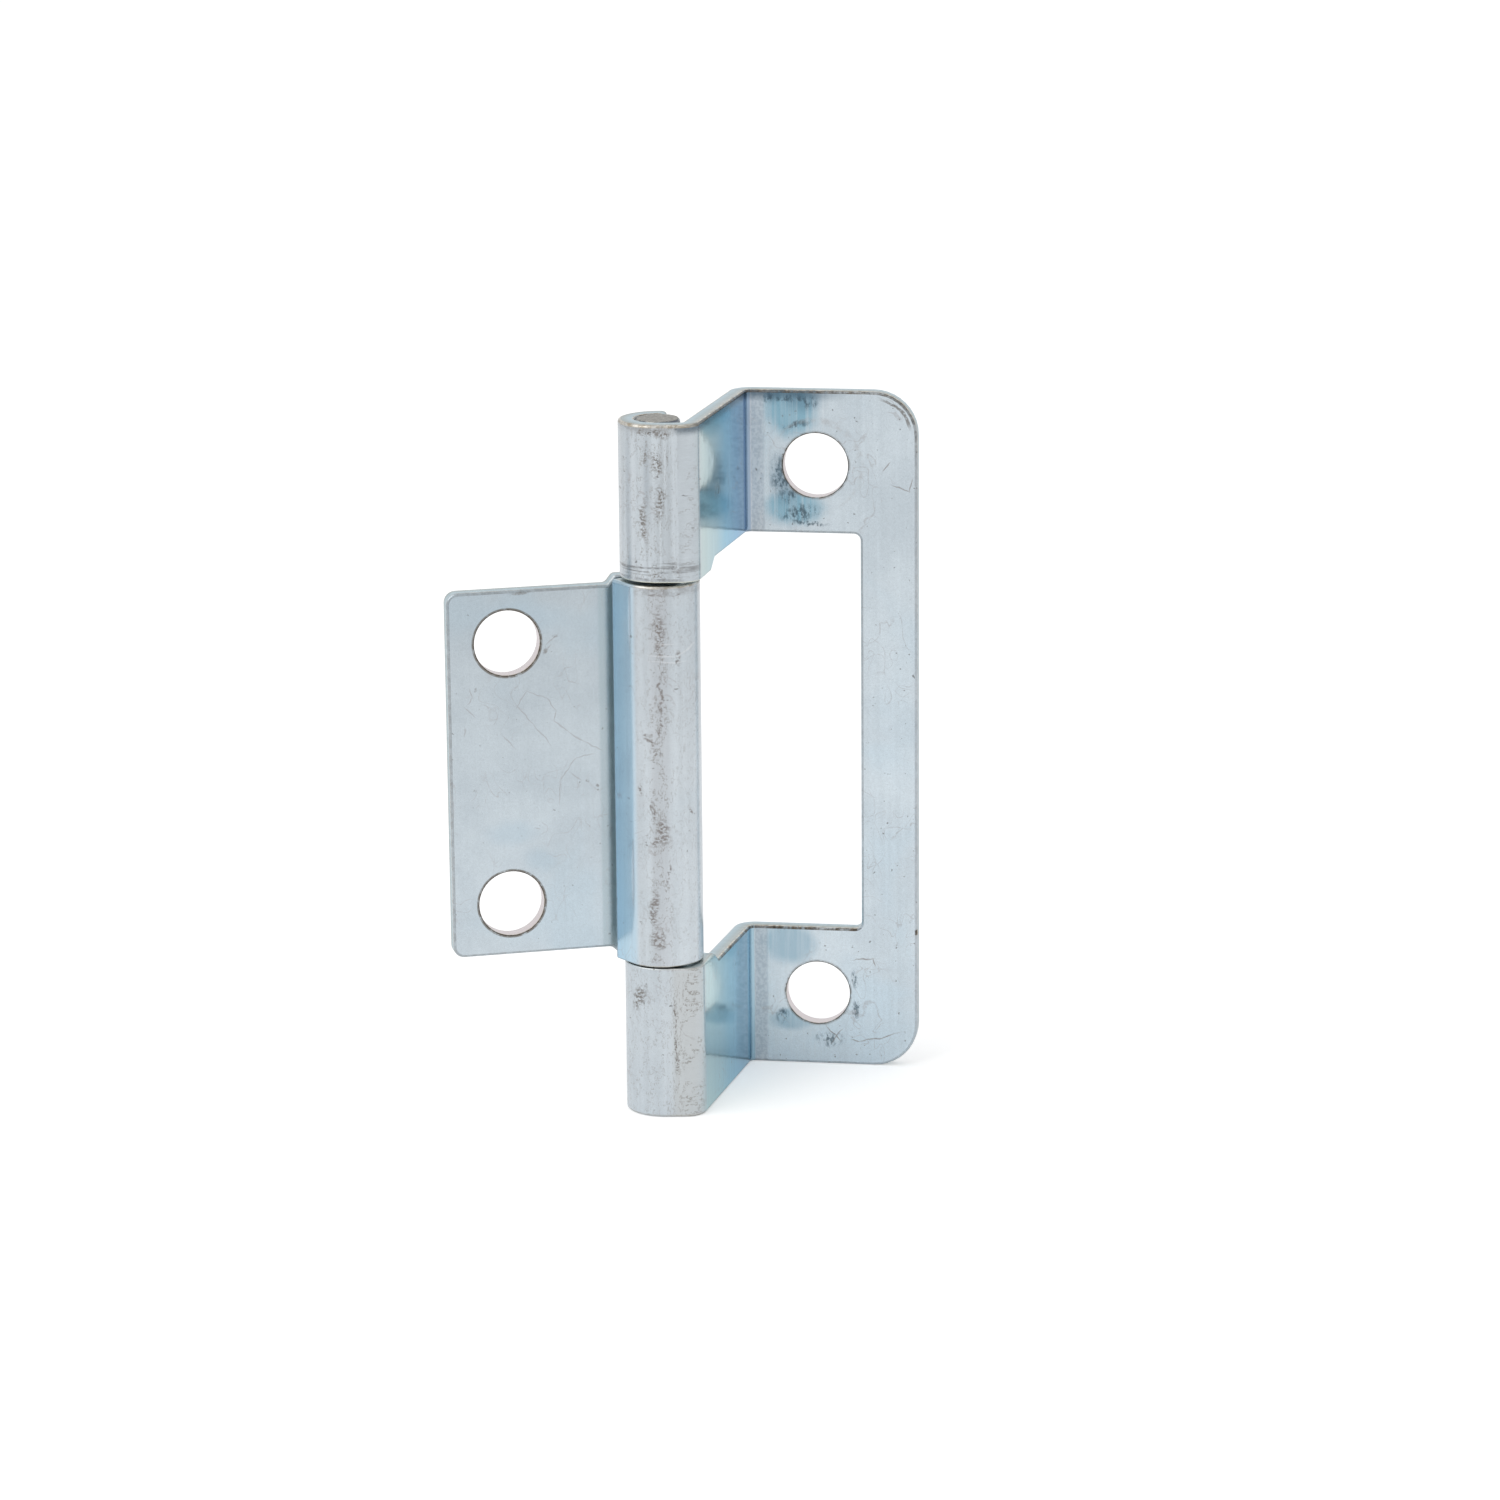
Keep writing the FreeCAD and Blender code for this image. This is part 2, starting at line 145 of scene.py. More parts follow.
def strip_slab(name, plates, holes, clean_ends):
    """The flat strip, in metres: plates that share corners, given their thickness, and
    their sheared edges rolled over. Each clean end is (height, first length, last length):
    the roll is finer there up to the first length, and full again from the last."""
    shape = bmesh.new()
    corners = {}
    for plate in plates:
        ring = []
        for x, z in plate:
            key = (round(x, 4), round(z, 4))
            if key not in corners:
                corners[key] = shape.verts.new((x * MM, 0.0, z * MM))
            if corners[key] not in ring:
                ring.append(corners[key])
        shape.faces.new(ring)
    raised = bmesh.ops.extrude_face_region(shape, geom=shape.faces[:], use_keep_orig=True)
    moved = [part for part in raised["geom"] if isinstance(part, bmesh.types.BMVert)]
    bmesh.ops.translate(shape, vec=(0, -SHEET * MM, 0), verts=moved)
    bmesh.ops.recalc_face_normals(shape, faces=shape.faces)

    def round_hole(edge):
        middle = (edge.verts[0].co + edge.verts[1].co) / 2 / MM
        return any(math.hypot(middle.x - x, middle.z - z) < HOLE_RADIUS + SLACK
                   for x, z in holes)

    sharp = [edge for edge in shape.edges if edge.calc_face_angle(0.0) > math.radians(SHARP_ANGLE)]
    at_holes = [edge for edge in sharp if round_hole(edge)]
    at_outline = [edge for edge in sharp if not round_hole(edge)]
    for edges, roll in ((at_holes, HOLE_ROLL), (at_outline, EDGE_ROLL)):
        bmesh.ops.bevel(shape, geom=edges, offset=roll * MM, offset_type="OFFSET",
                        segments=3, profile=0.5, affect="EDGES", clamp_overlap=False)

    for point in shape.verts:
        x, y, z = point.co / MM
        for height, first, last in clean_ends:
            if abs(z - height) < EDGE_ROLL + SLACK and x < last:
                share = min(max((x - first) / (last - first), 0.0), 1.0)
                finer = CLEAN_CUT + (1.0 - CLEAN_CUT) * share
                face = 0.0 if y > -SHEET / 2 else -SHEET
                if abs(y - face) < EDGE_ROLL + SLACK:
                    y = face + (y - face) * finer
                z = height + (z - height) * finer
        point.co = Vector((x, y, z)) * MM
    mesh = bpy.data.meshes.new(name)
    shape.to_mesh(mesh)
    shape.free()
    return mesh


class Value:
    """A number in a node tree. Sums on it add Math nodes."""

    def __init__(self, owner, socket):
        self.owner = owner
        self.socket = socket

    def maths(self, operation, *terms):
        made = self.owner.node("ShaderNodeMath", {"operation": operation},
                               dict(enumerate(terms)))
        return Value(self.owner, made.outputs[0])

    def __add__(self, other):
        return self.maths("ADD", self, other)

    def __sub__(self, other):
        return self.maths("SUBTRACT", self, other)

    def __mul__(self, other):
        return self.maths("MULTIPLY", self, other)

    def __truediv__(self, other):
        return self.maths("DIVIDE", self, other)

    def __rsub__(self, other):
        return self.maths("SUBTRACT", other, self)

    def __rtruediv__(self, other):
        return self.maths("DIVIDE", other, self)

    def __abs__(self):
        return self.maths("ABSOLUTE", self)

    __radd__ = __add__
    __rmul__ = __mul__


class Tree:
    """A node tree that is being put together, for a shape or for a finish."""

    def __init__(self, tree):
        self.tree = tree

    def node(self, kind, settings=None, sockets=None):
        """A node of a type, with its settings, and the values or links of its sockets."""
        made = self.tree.nodes.new(kind)
        for key, value in (settings or {}).items():
            if key == "stops":
                stops = made.color_ramp.elements
                while len(stops) > 1:
                    stops.remove(stops[-1])
                for number, (place, colour) in enumerate(value):
                    stop = stops.new(place) if number else stops[0]
                    stop.position = place
                    stop.color = (*colour, 1.0)
            else:
                setattr(made, key, value)
        for key, value in (sockets or {}).items():
            given = value.socket if isinstance(value, Value) else value
            if isinstance(given, bpy.types.NodeSocket):
                self.tree.links.new(given, made.inputs[key])
            else:
                made.inputs[key].default_value = given
        return made


def folding_tree():
    """Geometry Nodes that fold a flat slab along a rail, and lift and turn it to its place."""
    group = bpy.data.node_groups.new("fold_strip", "GeometryNodeTree")
    for name, kind in (("Slab", "Geometry"), ("Rail", "Object"), ("Base", "Float"),
                       ("Turn", "Float"), ("Finish", "Material")):
        group.interface.new_socket(name, in_out="INPUT", socket_type=f"NodeSocket{kind}")
    group.interface.new_socket("Strip", in_out="OUTPUT", socket_type="NodeSocketGeometry")
    fold = Tree(group)
    given = fold.node("NodeGroupInput").outputs

    # While the strip is flat: each point's place on it, and how far each face is rolled
    # over, from 0 on the sheet's two faces to 1 on its sheared edge.
    place = fold.node("GeometryNodeInputPosition").outputs[0]
    placed = fold.node("GeometryNodeStoreNamedAttribute",
                       {"data_type": "FLOAT_VECTOR", "domain": "POINT"},
                       {"Geometry": given["Slab"], "Name": "blank", "Value": place}).outputs[0]
    facing = fold.node("GeometryNodeInputNormal").outputs[0]
    facing = fold.node("ShaderNodeSeparateXYZ", {}, {"Vector": facing}).outputs["Y"]
    rolled = abs(Value(fold, facing)).maths("MINIMUM", abs(Value(fold, facing)), 1.0)
    rolled = rolled.maths("ARCCOSINE", rolled) / (math.pi / 2)
    marked = fold.node("GeometryNodeStoreNamedAttribute",
                       {"data_type": "FLOAT", "domain": "FACE"},
                       {"Geometry": placed, "Name": "rolled", "Value": rolled}).outputs[0]

    rail = fold.node("GeometryNodeObjectInfo", {"transform_space": "ORIGINAL"},
                     {"Object": given["Rail"]}).outputs["Geometry"]
    line = fold.node("GeometryNodeMeshToCurve", {}, {"Mesh": rail}).outputs[0]
    outward = fold.node("GeometryNodeInputNamedAttribute", {"data_type": "FLOAT_VECTOR"},
                        {"Name": "outward"}).outputs["Attribute"]
    flat = fold.node("ShaderNodeSeparateXYZ", {}, {"Vector": place}).outputs
    at = fold.node("GeometryNodeSampleCurve", {"mode": "LENGTH", "data_type": "FLOAT_VECTOR"},
                   {"Curves": line, "Value": outward, "Length": flat["X"]}).outputs
    through = fold.node("ShaderNodeVectorMath", {"operation": "SCALE"},
                        {"Vector": at["Value"], "Scale": -1 * Value(fold, flat["Y"])}).outputs[0]
    side = fold.node("ShaderNodeVectorMath", {"operation": "ADD"},
                     {0: at["Position"], 1: through}).outputs[0]
    height = fold.node("ShaderNodeCombineXYZ", {}, {"Z": flat["Z"]}).outputs[0]
    there = fold.node("ShaderNodeVectorMath", {"operation": "ADD"},
                      {0: side, 1: height}).outputs[0]
    folded = fold.node("GeometryNodeSetPosition", {},
                       {"Geometry": marked, "Position": there}).outputs[0]

    lift = fold.node("ShaderNodeCombineXYZ", {}, {"Z": given["Base"]}).outputs[0]
    spin = fold.node("ShaderNodeCombineXYZ", {}, {"Z": given["Turn"]}).outputs[0]
    stood = fold.node("GeometryNodeTransform", {},
                      {"Geometry": folded, "Translation": lift, "Rotation": spin}).outputs[0]
    smooth = fold.node("GeometryNodeSetShadeSmooth", {}, {"Geometry": stood}).outputs[0]
    solid = fold.node("GeometryNodeRealizeInstances", {}, {"Geometry": smooth}).outputs[0]
    finished = fold.node("GeometryNodeSetMaterial", {},
                         {"Geometry": solid, "Material": given["Finish"]}).outputs[0]
    fold.node("NodeGroupOutput", {}, {"Strip": finished})
    return group


fold_strip = folding_tree()


def press(name, slab, rail, finish, base=0.0, turn=0.0):
    """Fold a slab along its rail, and return it as a plain object."""
    maker = add_object(f"{name}_maker", slab)
    folds = maker.modifiers.new("folds", "NODES")
    folds.node_group = fold_strip
    inputs = {item.name: item.identifier for item in fold_strip.interface.items_tree
              if item.in_out == "INPUT"}
    folds[inputs["Rail"]] = rail
    folds[inputs["Base"]] = base * MM
    folds[inputs["Turn"]] = math.radians(turn)
    folds[inputs["Finish"]] = finish
    even = maker.modifiers.new("even", "WEIGHTED_NORMAL")
    even.mode = "FACE_AREA"
    even.weight = 100
    bpy.context.view_layer.update()
    seen = maker.evaluated_get(bpy.context.evaluated_depsgraph_get())
    mesh = bpy.data.meshes.new_from_object(seen)
    mesh.name = name
    bpy.data.objects.remove(maker)
    bpy.data.objects.remove(rail)
    return add_object(name, mesh)


def tall_fold():
    """Fold lines of the tall leaf, and the strip's length at its main places."""
    fold = Fold()
    marks = {}
    front, crank = ray(tall["front_faces"]), ray(tall["crank_faces"])
    bend_y = tall["depth"] - tall["bend"]
    bend = Vector(((tall["crank_offset"] + tall["bend"] - bend_y * crank.y) / crank.x, bend_y))
    across = crank.x * front.y - crank.y * front.x
    from_crank = tall["crank_offset"] - tall["front_radius"]
    from_front = PIN_RADIUS + SHEET - tall["front_radius"]
    corner = Vector(((from_crank * front.y - from_front * crank.y) / across,
                     (from_front * crank.x - from_crank * front.x) / across))
    inner_turn = tall["front_radius"] - SHEET
    outer_bend = tall["bend"] + SHEET

    pin_centre = Vector((0.0, 0.0))
    tail = tall["curl_end"] + END_RUN
    fold.arc(pin_centre, PIN_RADIUS, tall["curl_end"], tail, step=END_RUN / 2)
    marks["curl"] = fold.arc(pin_centre, PIN_RADIUS, tail, tall["front_faces"] + 360)
    marks["crank"] = fold.arc(corner, inner_turn, tall["front_faces"], tall["crank_faces"],
                              step=FINE_STEP)
    start, end = fold.points[-1], bend - crank * outer_bend
    for mark, y in (("shoulder", tall["shoulder"]),
                    ("slope_end", tall["shoulder"] + tall["slope"])):
        marks[mark] = fold.to(start.lerp(end, (y - start.y) / (end.y - start.y)), crank)
    marks["bend"] = fold.to(end, crank)
    marks["flat"] = fold.arc(bend, outer_bend, tall["crank_faces"] + 180, 90, side=-1,
                             step=FINE_STEP)
    marks["end"] = fold.to(Vector((tall["reach"], tall["depth"] + SHEET)), Vector((0.0, -1.0)))
    return fold, marks


def tall_plates(fold, marks):
    """The blank's plates: narrow ones where it is folded, and three for the flat leaf."""
    top = HINGE_HEIGHT
    arm, knuckle, high_knuckle = tall["arm"], tall["knuckle"], tall["high_knuckle"]

    def strap(length, knuckle):
        """Height of the strap that becomes a knuckle and the crank."""
        return knuckle if length <= marks["shoulder"] + SAME else arm

    plates = []
    stations = [length for length in fold.lengths if length <= marks["flat"] + SAME]
    hole_z = tall["hole_z"]
    for here, there in zip(stations, stations[1:]):
        low, high = strap(here, knuckle), strap(there, knuckle)
        upper_low, upper_high = strap(here, high_knuckle), strap(there, high_knuckle)
        last = there > marks["flat"] - SAME
        seam = [(there, hole_z)] if last else []
        upper_seam = [(there, top - hole_z)] if last else []
        plates.append([(here, 0), (there, 0), *seam, (there, high), (here, low)])
        plates.append([(here, top - upper_low), (there, top - upper_high), *upper_seam,
                       (there, top), (here, top)])

    def along(x):
        return marks["end"] - (tall["reach"] - x)

    flat, end, hole = marks["flat"], marks["end"], along(tall["hole_x"])
    bar = along(tall["reach"] - tall["bar"])
    corner, inner = tall["corner"], tall["window_corner"]
    window = [(flat, top - arm),
              *arc_points((bar - inner, top - arm - inner), inner, 90, 0, SMALL_CORNER_SIDES),
              *arc_points((bar - inner, arm + inner), inner, 0, -90, SMALL_CORNER_SIDES),
              (flat, arm)]
    holes = [(hole, hole_z), (hole, top - hole_z)]
    return plates + holed_plates((flat, end), (0, top), corner, CORNER_SIDES, holes, window), holes


class Finish(Tree):
    """The node tree of a surface, with the few moves that the finishes here use."""

    def __init__(self, owner):
        """The owner is a world, or the name of a material to make."""
        self.owner = bpy.data.materials.new(owner) if isinstance(owner, str) else owner
        self.owner.use_nodes = True
        self.owner.node_tree.nodes.clear()
        super().__init__(self.owner.node_tree)

    def noise(self, vector, scale, detail=3.0, rough=0.5, twist=0.0):
        """Cloudy noise from 0 to 1, with about as many features to the millimetre as scale."""
        made = self.node("ShaderNodeTexNoise", {},
                         {"Vector": vector, "Scale": scale, "Detail": detail,
                          "Roughness": rough, "Distortion": twist})
        return Value(self, made.outputs[0])

    def ease(self, value, low, high):
        """0 at low, 1 at high, and a smooth rise between; low may be above high."""
        made = self.node("ShaderNodeMapRange",
                         {"interpolation_type": "SMOOTHSTEP", "clamp": False},
                         {"Value": value, "From Min": low, "From Max": high})
        return Value(self, made.outputs[0])

    def within(self, value, low, high, soft):
        """1 between two numbers, with soft shoulders outside them."""
        return self.ease(value, low - soft, low) * self.ease(value, high + soft, high)

    def stretch(self, vector, *factors):
        made = self.node("ShaderNodeVectorMath", {"operation": "MULTIPLY"},
                         {0: vector, 1: factors})
        return made.outputs[0]

    def shade(self, colour, factor):
        """A colour made lighter or darker."""
        made = self.node("ShaderNodeVectorMath", {"operation": "SCALE"},
                         {"Vector": colour, "Scale": factor})
        return made.outputs[0]

    def blend(self, factor, first, second):
        """One colour going over to another; a colour is a socket or three numbers."""
        # Sockets 4 and 5 are the node's two vectors.
        made = self.node("ShaderNodeMix", {"data_type": "VECTOR"},
                         {"Factor": factor, 4: first, 5: second})
        return made.outputs[1]

    def ramp(self, value, low, high, *stops):
        """A row of colours along a value that goes from low to high."""
        along = (value - low) / (high - low)
        made = self.node("ShaderNodeValToRGB",
                         {"stops": [((place - low) / (high - low), colour)
                                    for place, colour in stops]}, {"Fac": along})
        return made.outputs[0]

    def ovals(self, vector, marks):
        """How far a place is from the nearest of some ovals: 0 at a middle, 1 on a rim.
        An oval is (across, up, half length, half width, turn in degrees)."""
        nearest = 99.0
        for across, up, length, width, turn in marks:
            made = self.node("ShaderNodeMapping", {"vector_type": "TEXTURE"},
                             {"Vector": vector, "Location": (across, up, 0.0),
                              "Rotation": (0.0, 0.0, math.radians(turn)),
                              "Scale": (length, width, 1.0)})
            away = self.node("ShaderNodeVectorMath", {"operation": "LENGTH"},
                             {0: made.outputs[0]}).outputs["Value"]
            away = Value(self, away)
            nearest = away.maths("MINIMUM", away, nearest)
        return nearest

    def spots(self, vector, soft, marks):
        """A mask of ovals, with soft rims."""
        return self.ease(self.ovals(vector, marks), 1.0 + soft, 1.0 - soft)

    def strokes(self, vector, half_width, lines):
        """A mask of scratches, each drawn through two or more points."""
        marks = []
        for line in lines:
            for (x, y), (x2, y2) in zip(line, line[1:]):
                marks.append(((x + x2) / 2, (y + y2) / 2,
                              math.hypot(x2 - x, y2 - y) / 2 + half_width, half_width,
                              math.degrees(math.atan2(y2 - y, x2 - x))))
        return self.spots(vector, 0.5, marks)

    def metal(self, colour, roughness, height, depth):
        """Close the tree as metal, with a bump so many millimetres deep, and return its owner."""
        bump = self.node("ShaderNodeBump", {},
                         {"Height": height, "Strength": 1.0, "Distance": depth * MM})
        shader = self.node("ShaderNodeBsdfPrincipled", {},
                           {"Base Color": colour, "Metallic": 1.0, "Roughness": roughness,
                            "Normal": bump.outputs[0]})
        self.node("ShaderNodeOutputMaterial", {}, {"Surface": shader.outputs[0]})
        return self.owner


class Plating(Finish):
    """Zinc with a blue passivate over pressed strip, with the wear of a handled part.

    Places on it are millimetres along the strip and up it, as it was cut."""

    DIRT = (0.255, 0.235, 0.215)
    SHEAR_DARK = (0.055, 0.047, 0.040)
    SHEAR_MID = (0.155, 0.132, 0.108)
    SHEAR_WARM = (0.42, 0.36, 0.27)
    SHEAR_PALE = (0.74, 0.71, 0.64)

    def __init__(self, name):
        super().__init__(name)
        self.colour = (0.0, 0.0, 0.0)
        spot = self.node("ShaderNodeAttribute", {"attribute_name": "blank"}).outputs["Vector"]
        self.place = self.stretch(spot, 1 / MM, 1 / MM, 1 / MM)
        split = self.node("ShaderNodeSeparateXYZ", {}, {"Vector": self.place}).outputs
        self.along = Value(self, split["X"])
        self.up = Value(self, split["Z"])
        self.depth = Value(self, split["Y"])
        rolled = self.node("ShaderNodeAttribute", {"attribute_name": "rolled"}).outputs["Fac"]
        self.rolled = Value(self, rolled)
        flat = self.node("ShaderNodeCombineXYZ", {}, {"X": split["X"], "Y": split["Z"]})
        self.flat = flat.outputs[0]
        sway = self.along + 0.5 * (self.noise(self.place, 0.9, 3.0) - 0.5)
        lift = self.up + 0.5 * (self.noise(self.place, 1.1, 3.0) - 0.5)
        shaky = self.node("ShaderNodeCombineXYZ", {}, {"X": sway, "Y": lift})
        self.shaky = shaky.outputs[0]
        wander = self.node("ShaderNodeVectorMath", {"operation": "SUBTRACT"},
                           {0: self.shaky, 1: self.flat}).outputs[0]
        self.ragged = self.node("ShaderNodeVectorMath", {"operation": "MULTIPLY_ADD"},
                                {0: wander, 1: (0.5, 0.5, 0.0), 2: self.shaky}).outputs[0]
        self.fine = self.noise(self.place, 5.0, 3.0, 0.65)
        self.patchy = self.noise(self.place, 1.7, 4.0, 0.7)
        self.drawn = self.grain(3.2, 0.07, 3.0, 0.6)
        self.outer = self.ease(self.depth, -0.55 * SHEET, -0.75 * SHEET)
        self.at_edge = self.ease(self.rolled, 0.08, 0.14)

    def grain(self, along, up, detail=2.0, rough=0.5):
        """Noise with so many features to the millimetre along the strip, and up it."""
        return self.noise(self.stretch(self.place, along, 1.0, up), 1.0, detail, rough)

    def tint(self, amount, colour):
        """Lay another colour over the plating's own."""
        self.colour = self.blend(amount, self.colour, colour)

    def tone(self, factor):
        """Make the plating lighter or darker."""
        self.colour = self.shade(self.colour, factor)

    def sheet(self, lines):
        """The plating's own colour: warm and blue clouds, drawing lines and a fine mottle."""
        clouds = self.noise(self.place, 0.17, 4.0, 0.55)
        self.colour = self.blend(self.ease(clouds, 0.36, 0.64), (0.520, 0.585, 0.632),
                                 (0.575, 0.642, 0.688))
        blueness = self.noise(self.place, 0.11, 3.0, 0.5, 0.4)
        self.tint(0.55 * self.ease(blueness, 0.5, 0.72), (0.500, 0.607, 0.680))
        speckle = self.noise(self.place, 11.0, 1.0, 0.5)
        tone = lines * (self.drawn - 0.5) + 0.16 * (self.patchy - 0.5)
        tone = tone + 0.22 * (self.fine - 0.5) + 0.20 * (speckle - 0.5)
        self.tone(1.0 + tone)

    def hairlines(self, amount):
        """Long wandering scratches, broken up and only here and there."""
        field = self.noise(self.place, 0.33, 1.5, 0.5, 0.7)
        line = self.ease(abs(field - 0.5), 0.010, 0.003)
        second = self.noise(self.stretch(self.place, 1.3, 1.0, 0.8), 0.5, 1.0, 0.5, 0.5)
        line = line.maths("MAXIMUM", line, self.ease(abs(second - 0.53), 0.010, 0.003))
        area = self.noise(self.place, 0.28, 2.0, 0.5)
        return amount * line * self.ease(area, 0.5, 0.62) * self.ease(self.fine, 0.38, 0.55)

    def contours(self, across, up):
        """Dirt caught in the fine crazing of a rubbed barrel: thin broken lines."""
        field = self.grain(across, up, 5.0, 0.7)
        line = self.ease(abs(field - 0.5), 0.020, 0.006)
        grain = self.ease(field, 0.60, 0.70)
        return line.maths("MAXIMUM", line, grain) * self.ease(self.fine, 0.40, 0.56)

    def specks(self, amount):
        """Small dark pits and grains of dirt."""
        grain = self.noise(self.place, 3.1, 2.0, 0.5)
        return amount * self.ease(grain, 0.71, 0.75)

    def sheared(self, amount, worn):
        """Sheared edges: a pale burnished face, and a brown and black line where it rolls,
        which is rubbed pale where it is worn."""
        depth = self.depth / -SHEET
        tear = self.noise(self.stretch(self.place, 2.6, 0.4, 2.6), 1.0, 3.0, 0.6)
        face = self.blend(self.ease(depth, 0.25, 0.95), (0.495, 0.610, 0.665),
                          (0.425, 0.465, 0.450))
        face = self.shade(face, 0.80 + 0.36 * tear)
        self.tint(self.ease(self.rolled, 0.93, 0.96), face)
        broken = self.noise(self.place, 2.6, 4.0, 0.75)
        line = self.blend(self.ease(broken, 0.38, 0.62), self.SHEAR_DARK, self.SHEAR_MID)
        warm = self.blend(self.ease(broken, 0.40, 0.60), self.SHEAR_WARM, self.SHEAR_PALE)
        pale = self.ease(self.rolled, 0.50, 0.75)
        line = self.blend(pale.maths("MAXIMUM", pale, worn), line, warm)
        edge = self.at_edge * self.ease(self.rolled, 0.93, 0.88)
        self.tint(edge * (amount * (0.50 + 0.50 * self.ease(self.patchy, 0.35, 0.6))), line)

    def from_holes(self, holes):
        """How far a place is outside the wall of the nearest hole."""
        return self.ovals(self.flat, [(x, z, 1, 1, 0) for x, z in holes]) - HOLE_RADIUS

    def walls(self, from_hole):
        """The walls of the holes are paler and rosier than the rest of the cut edge."""
        wall = self.ease(from_hole, 0.07, 0.04) * self.ease(self.rolled, 0.90, 0.95)
        self.tint(wall, (0.72, 0.67, 0.68))

    def soiled(self, amount, marks, stain):
        """Dirt rubbed into ragged ovals, and broken up in them."""
        dirt = self.spots(self.ragged, 0.5, marks)
        dirt = dirt * self.ease(self.noise(self.place, 6.0, 3.0, 0.75), 0.44, 0.56)
        self.tint(amount * dirt, stain)

    def plated(self, roughness):
        """Close the tree, with the plating's slight ripple and its drawing lines as bump."""
        ripple = self.noise(self.place, 0.8, 2.0, 0.5)
        height = ripple + 0.10 * self.drawn + 0.06 * self.fine
        return self.metal(self.colour, roughness, height, 0.012)


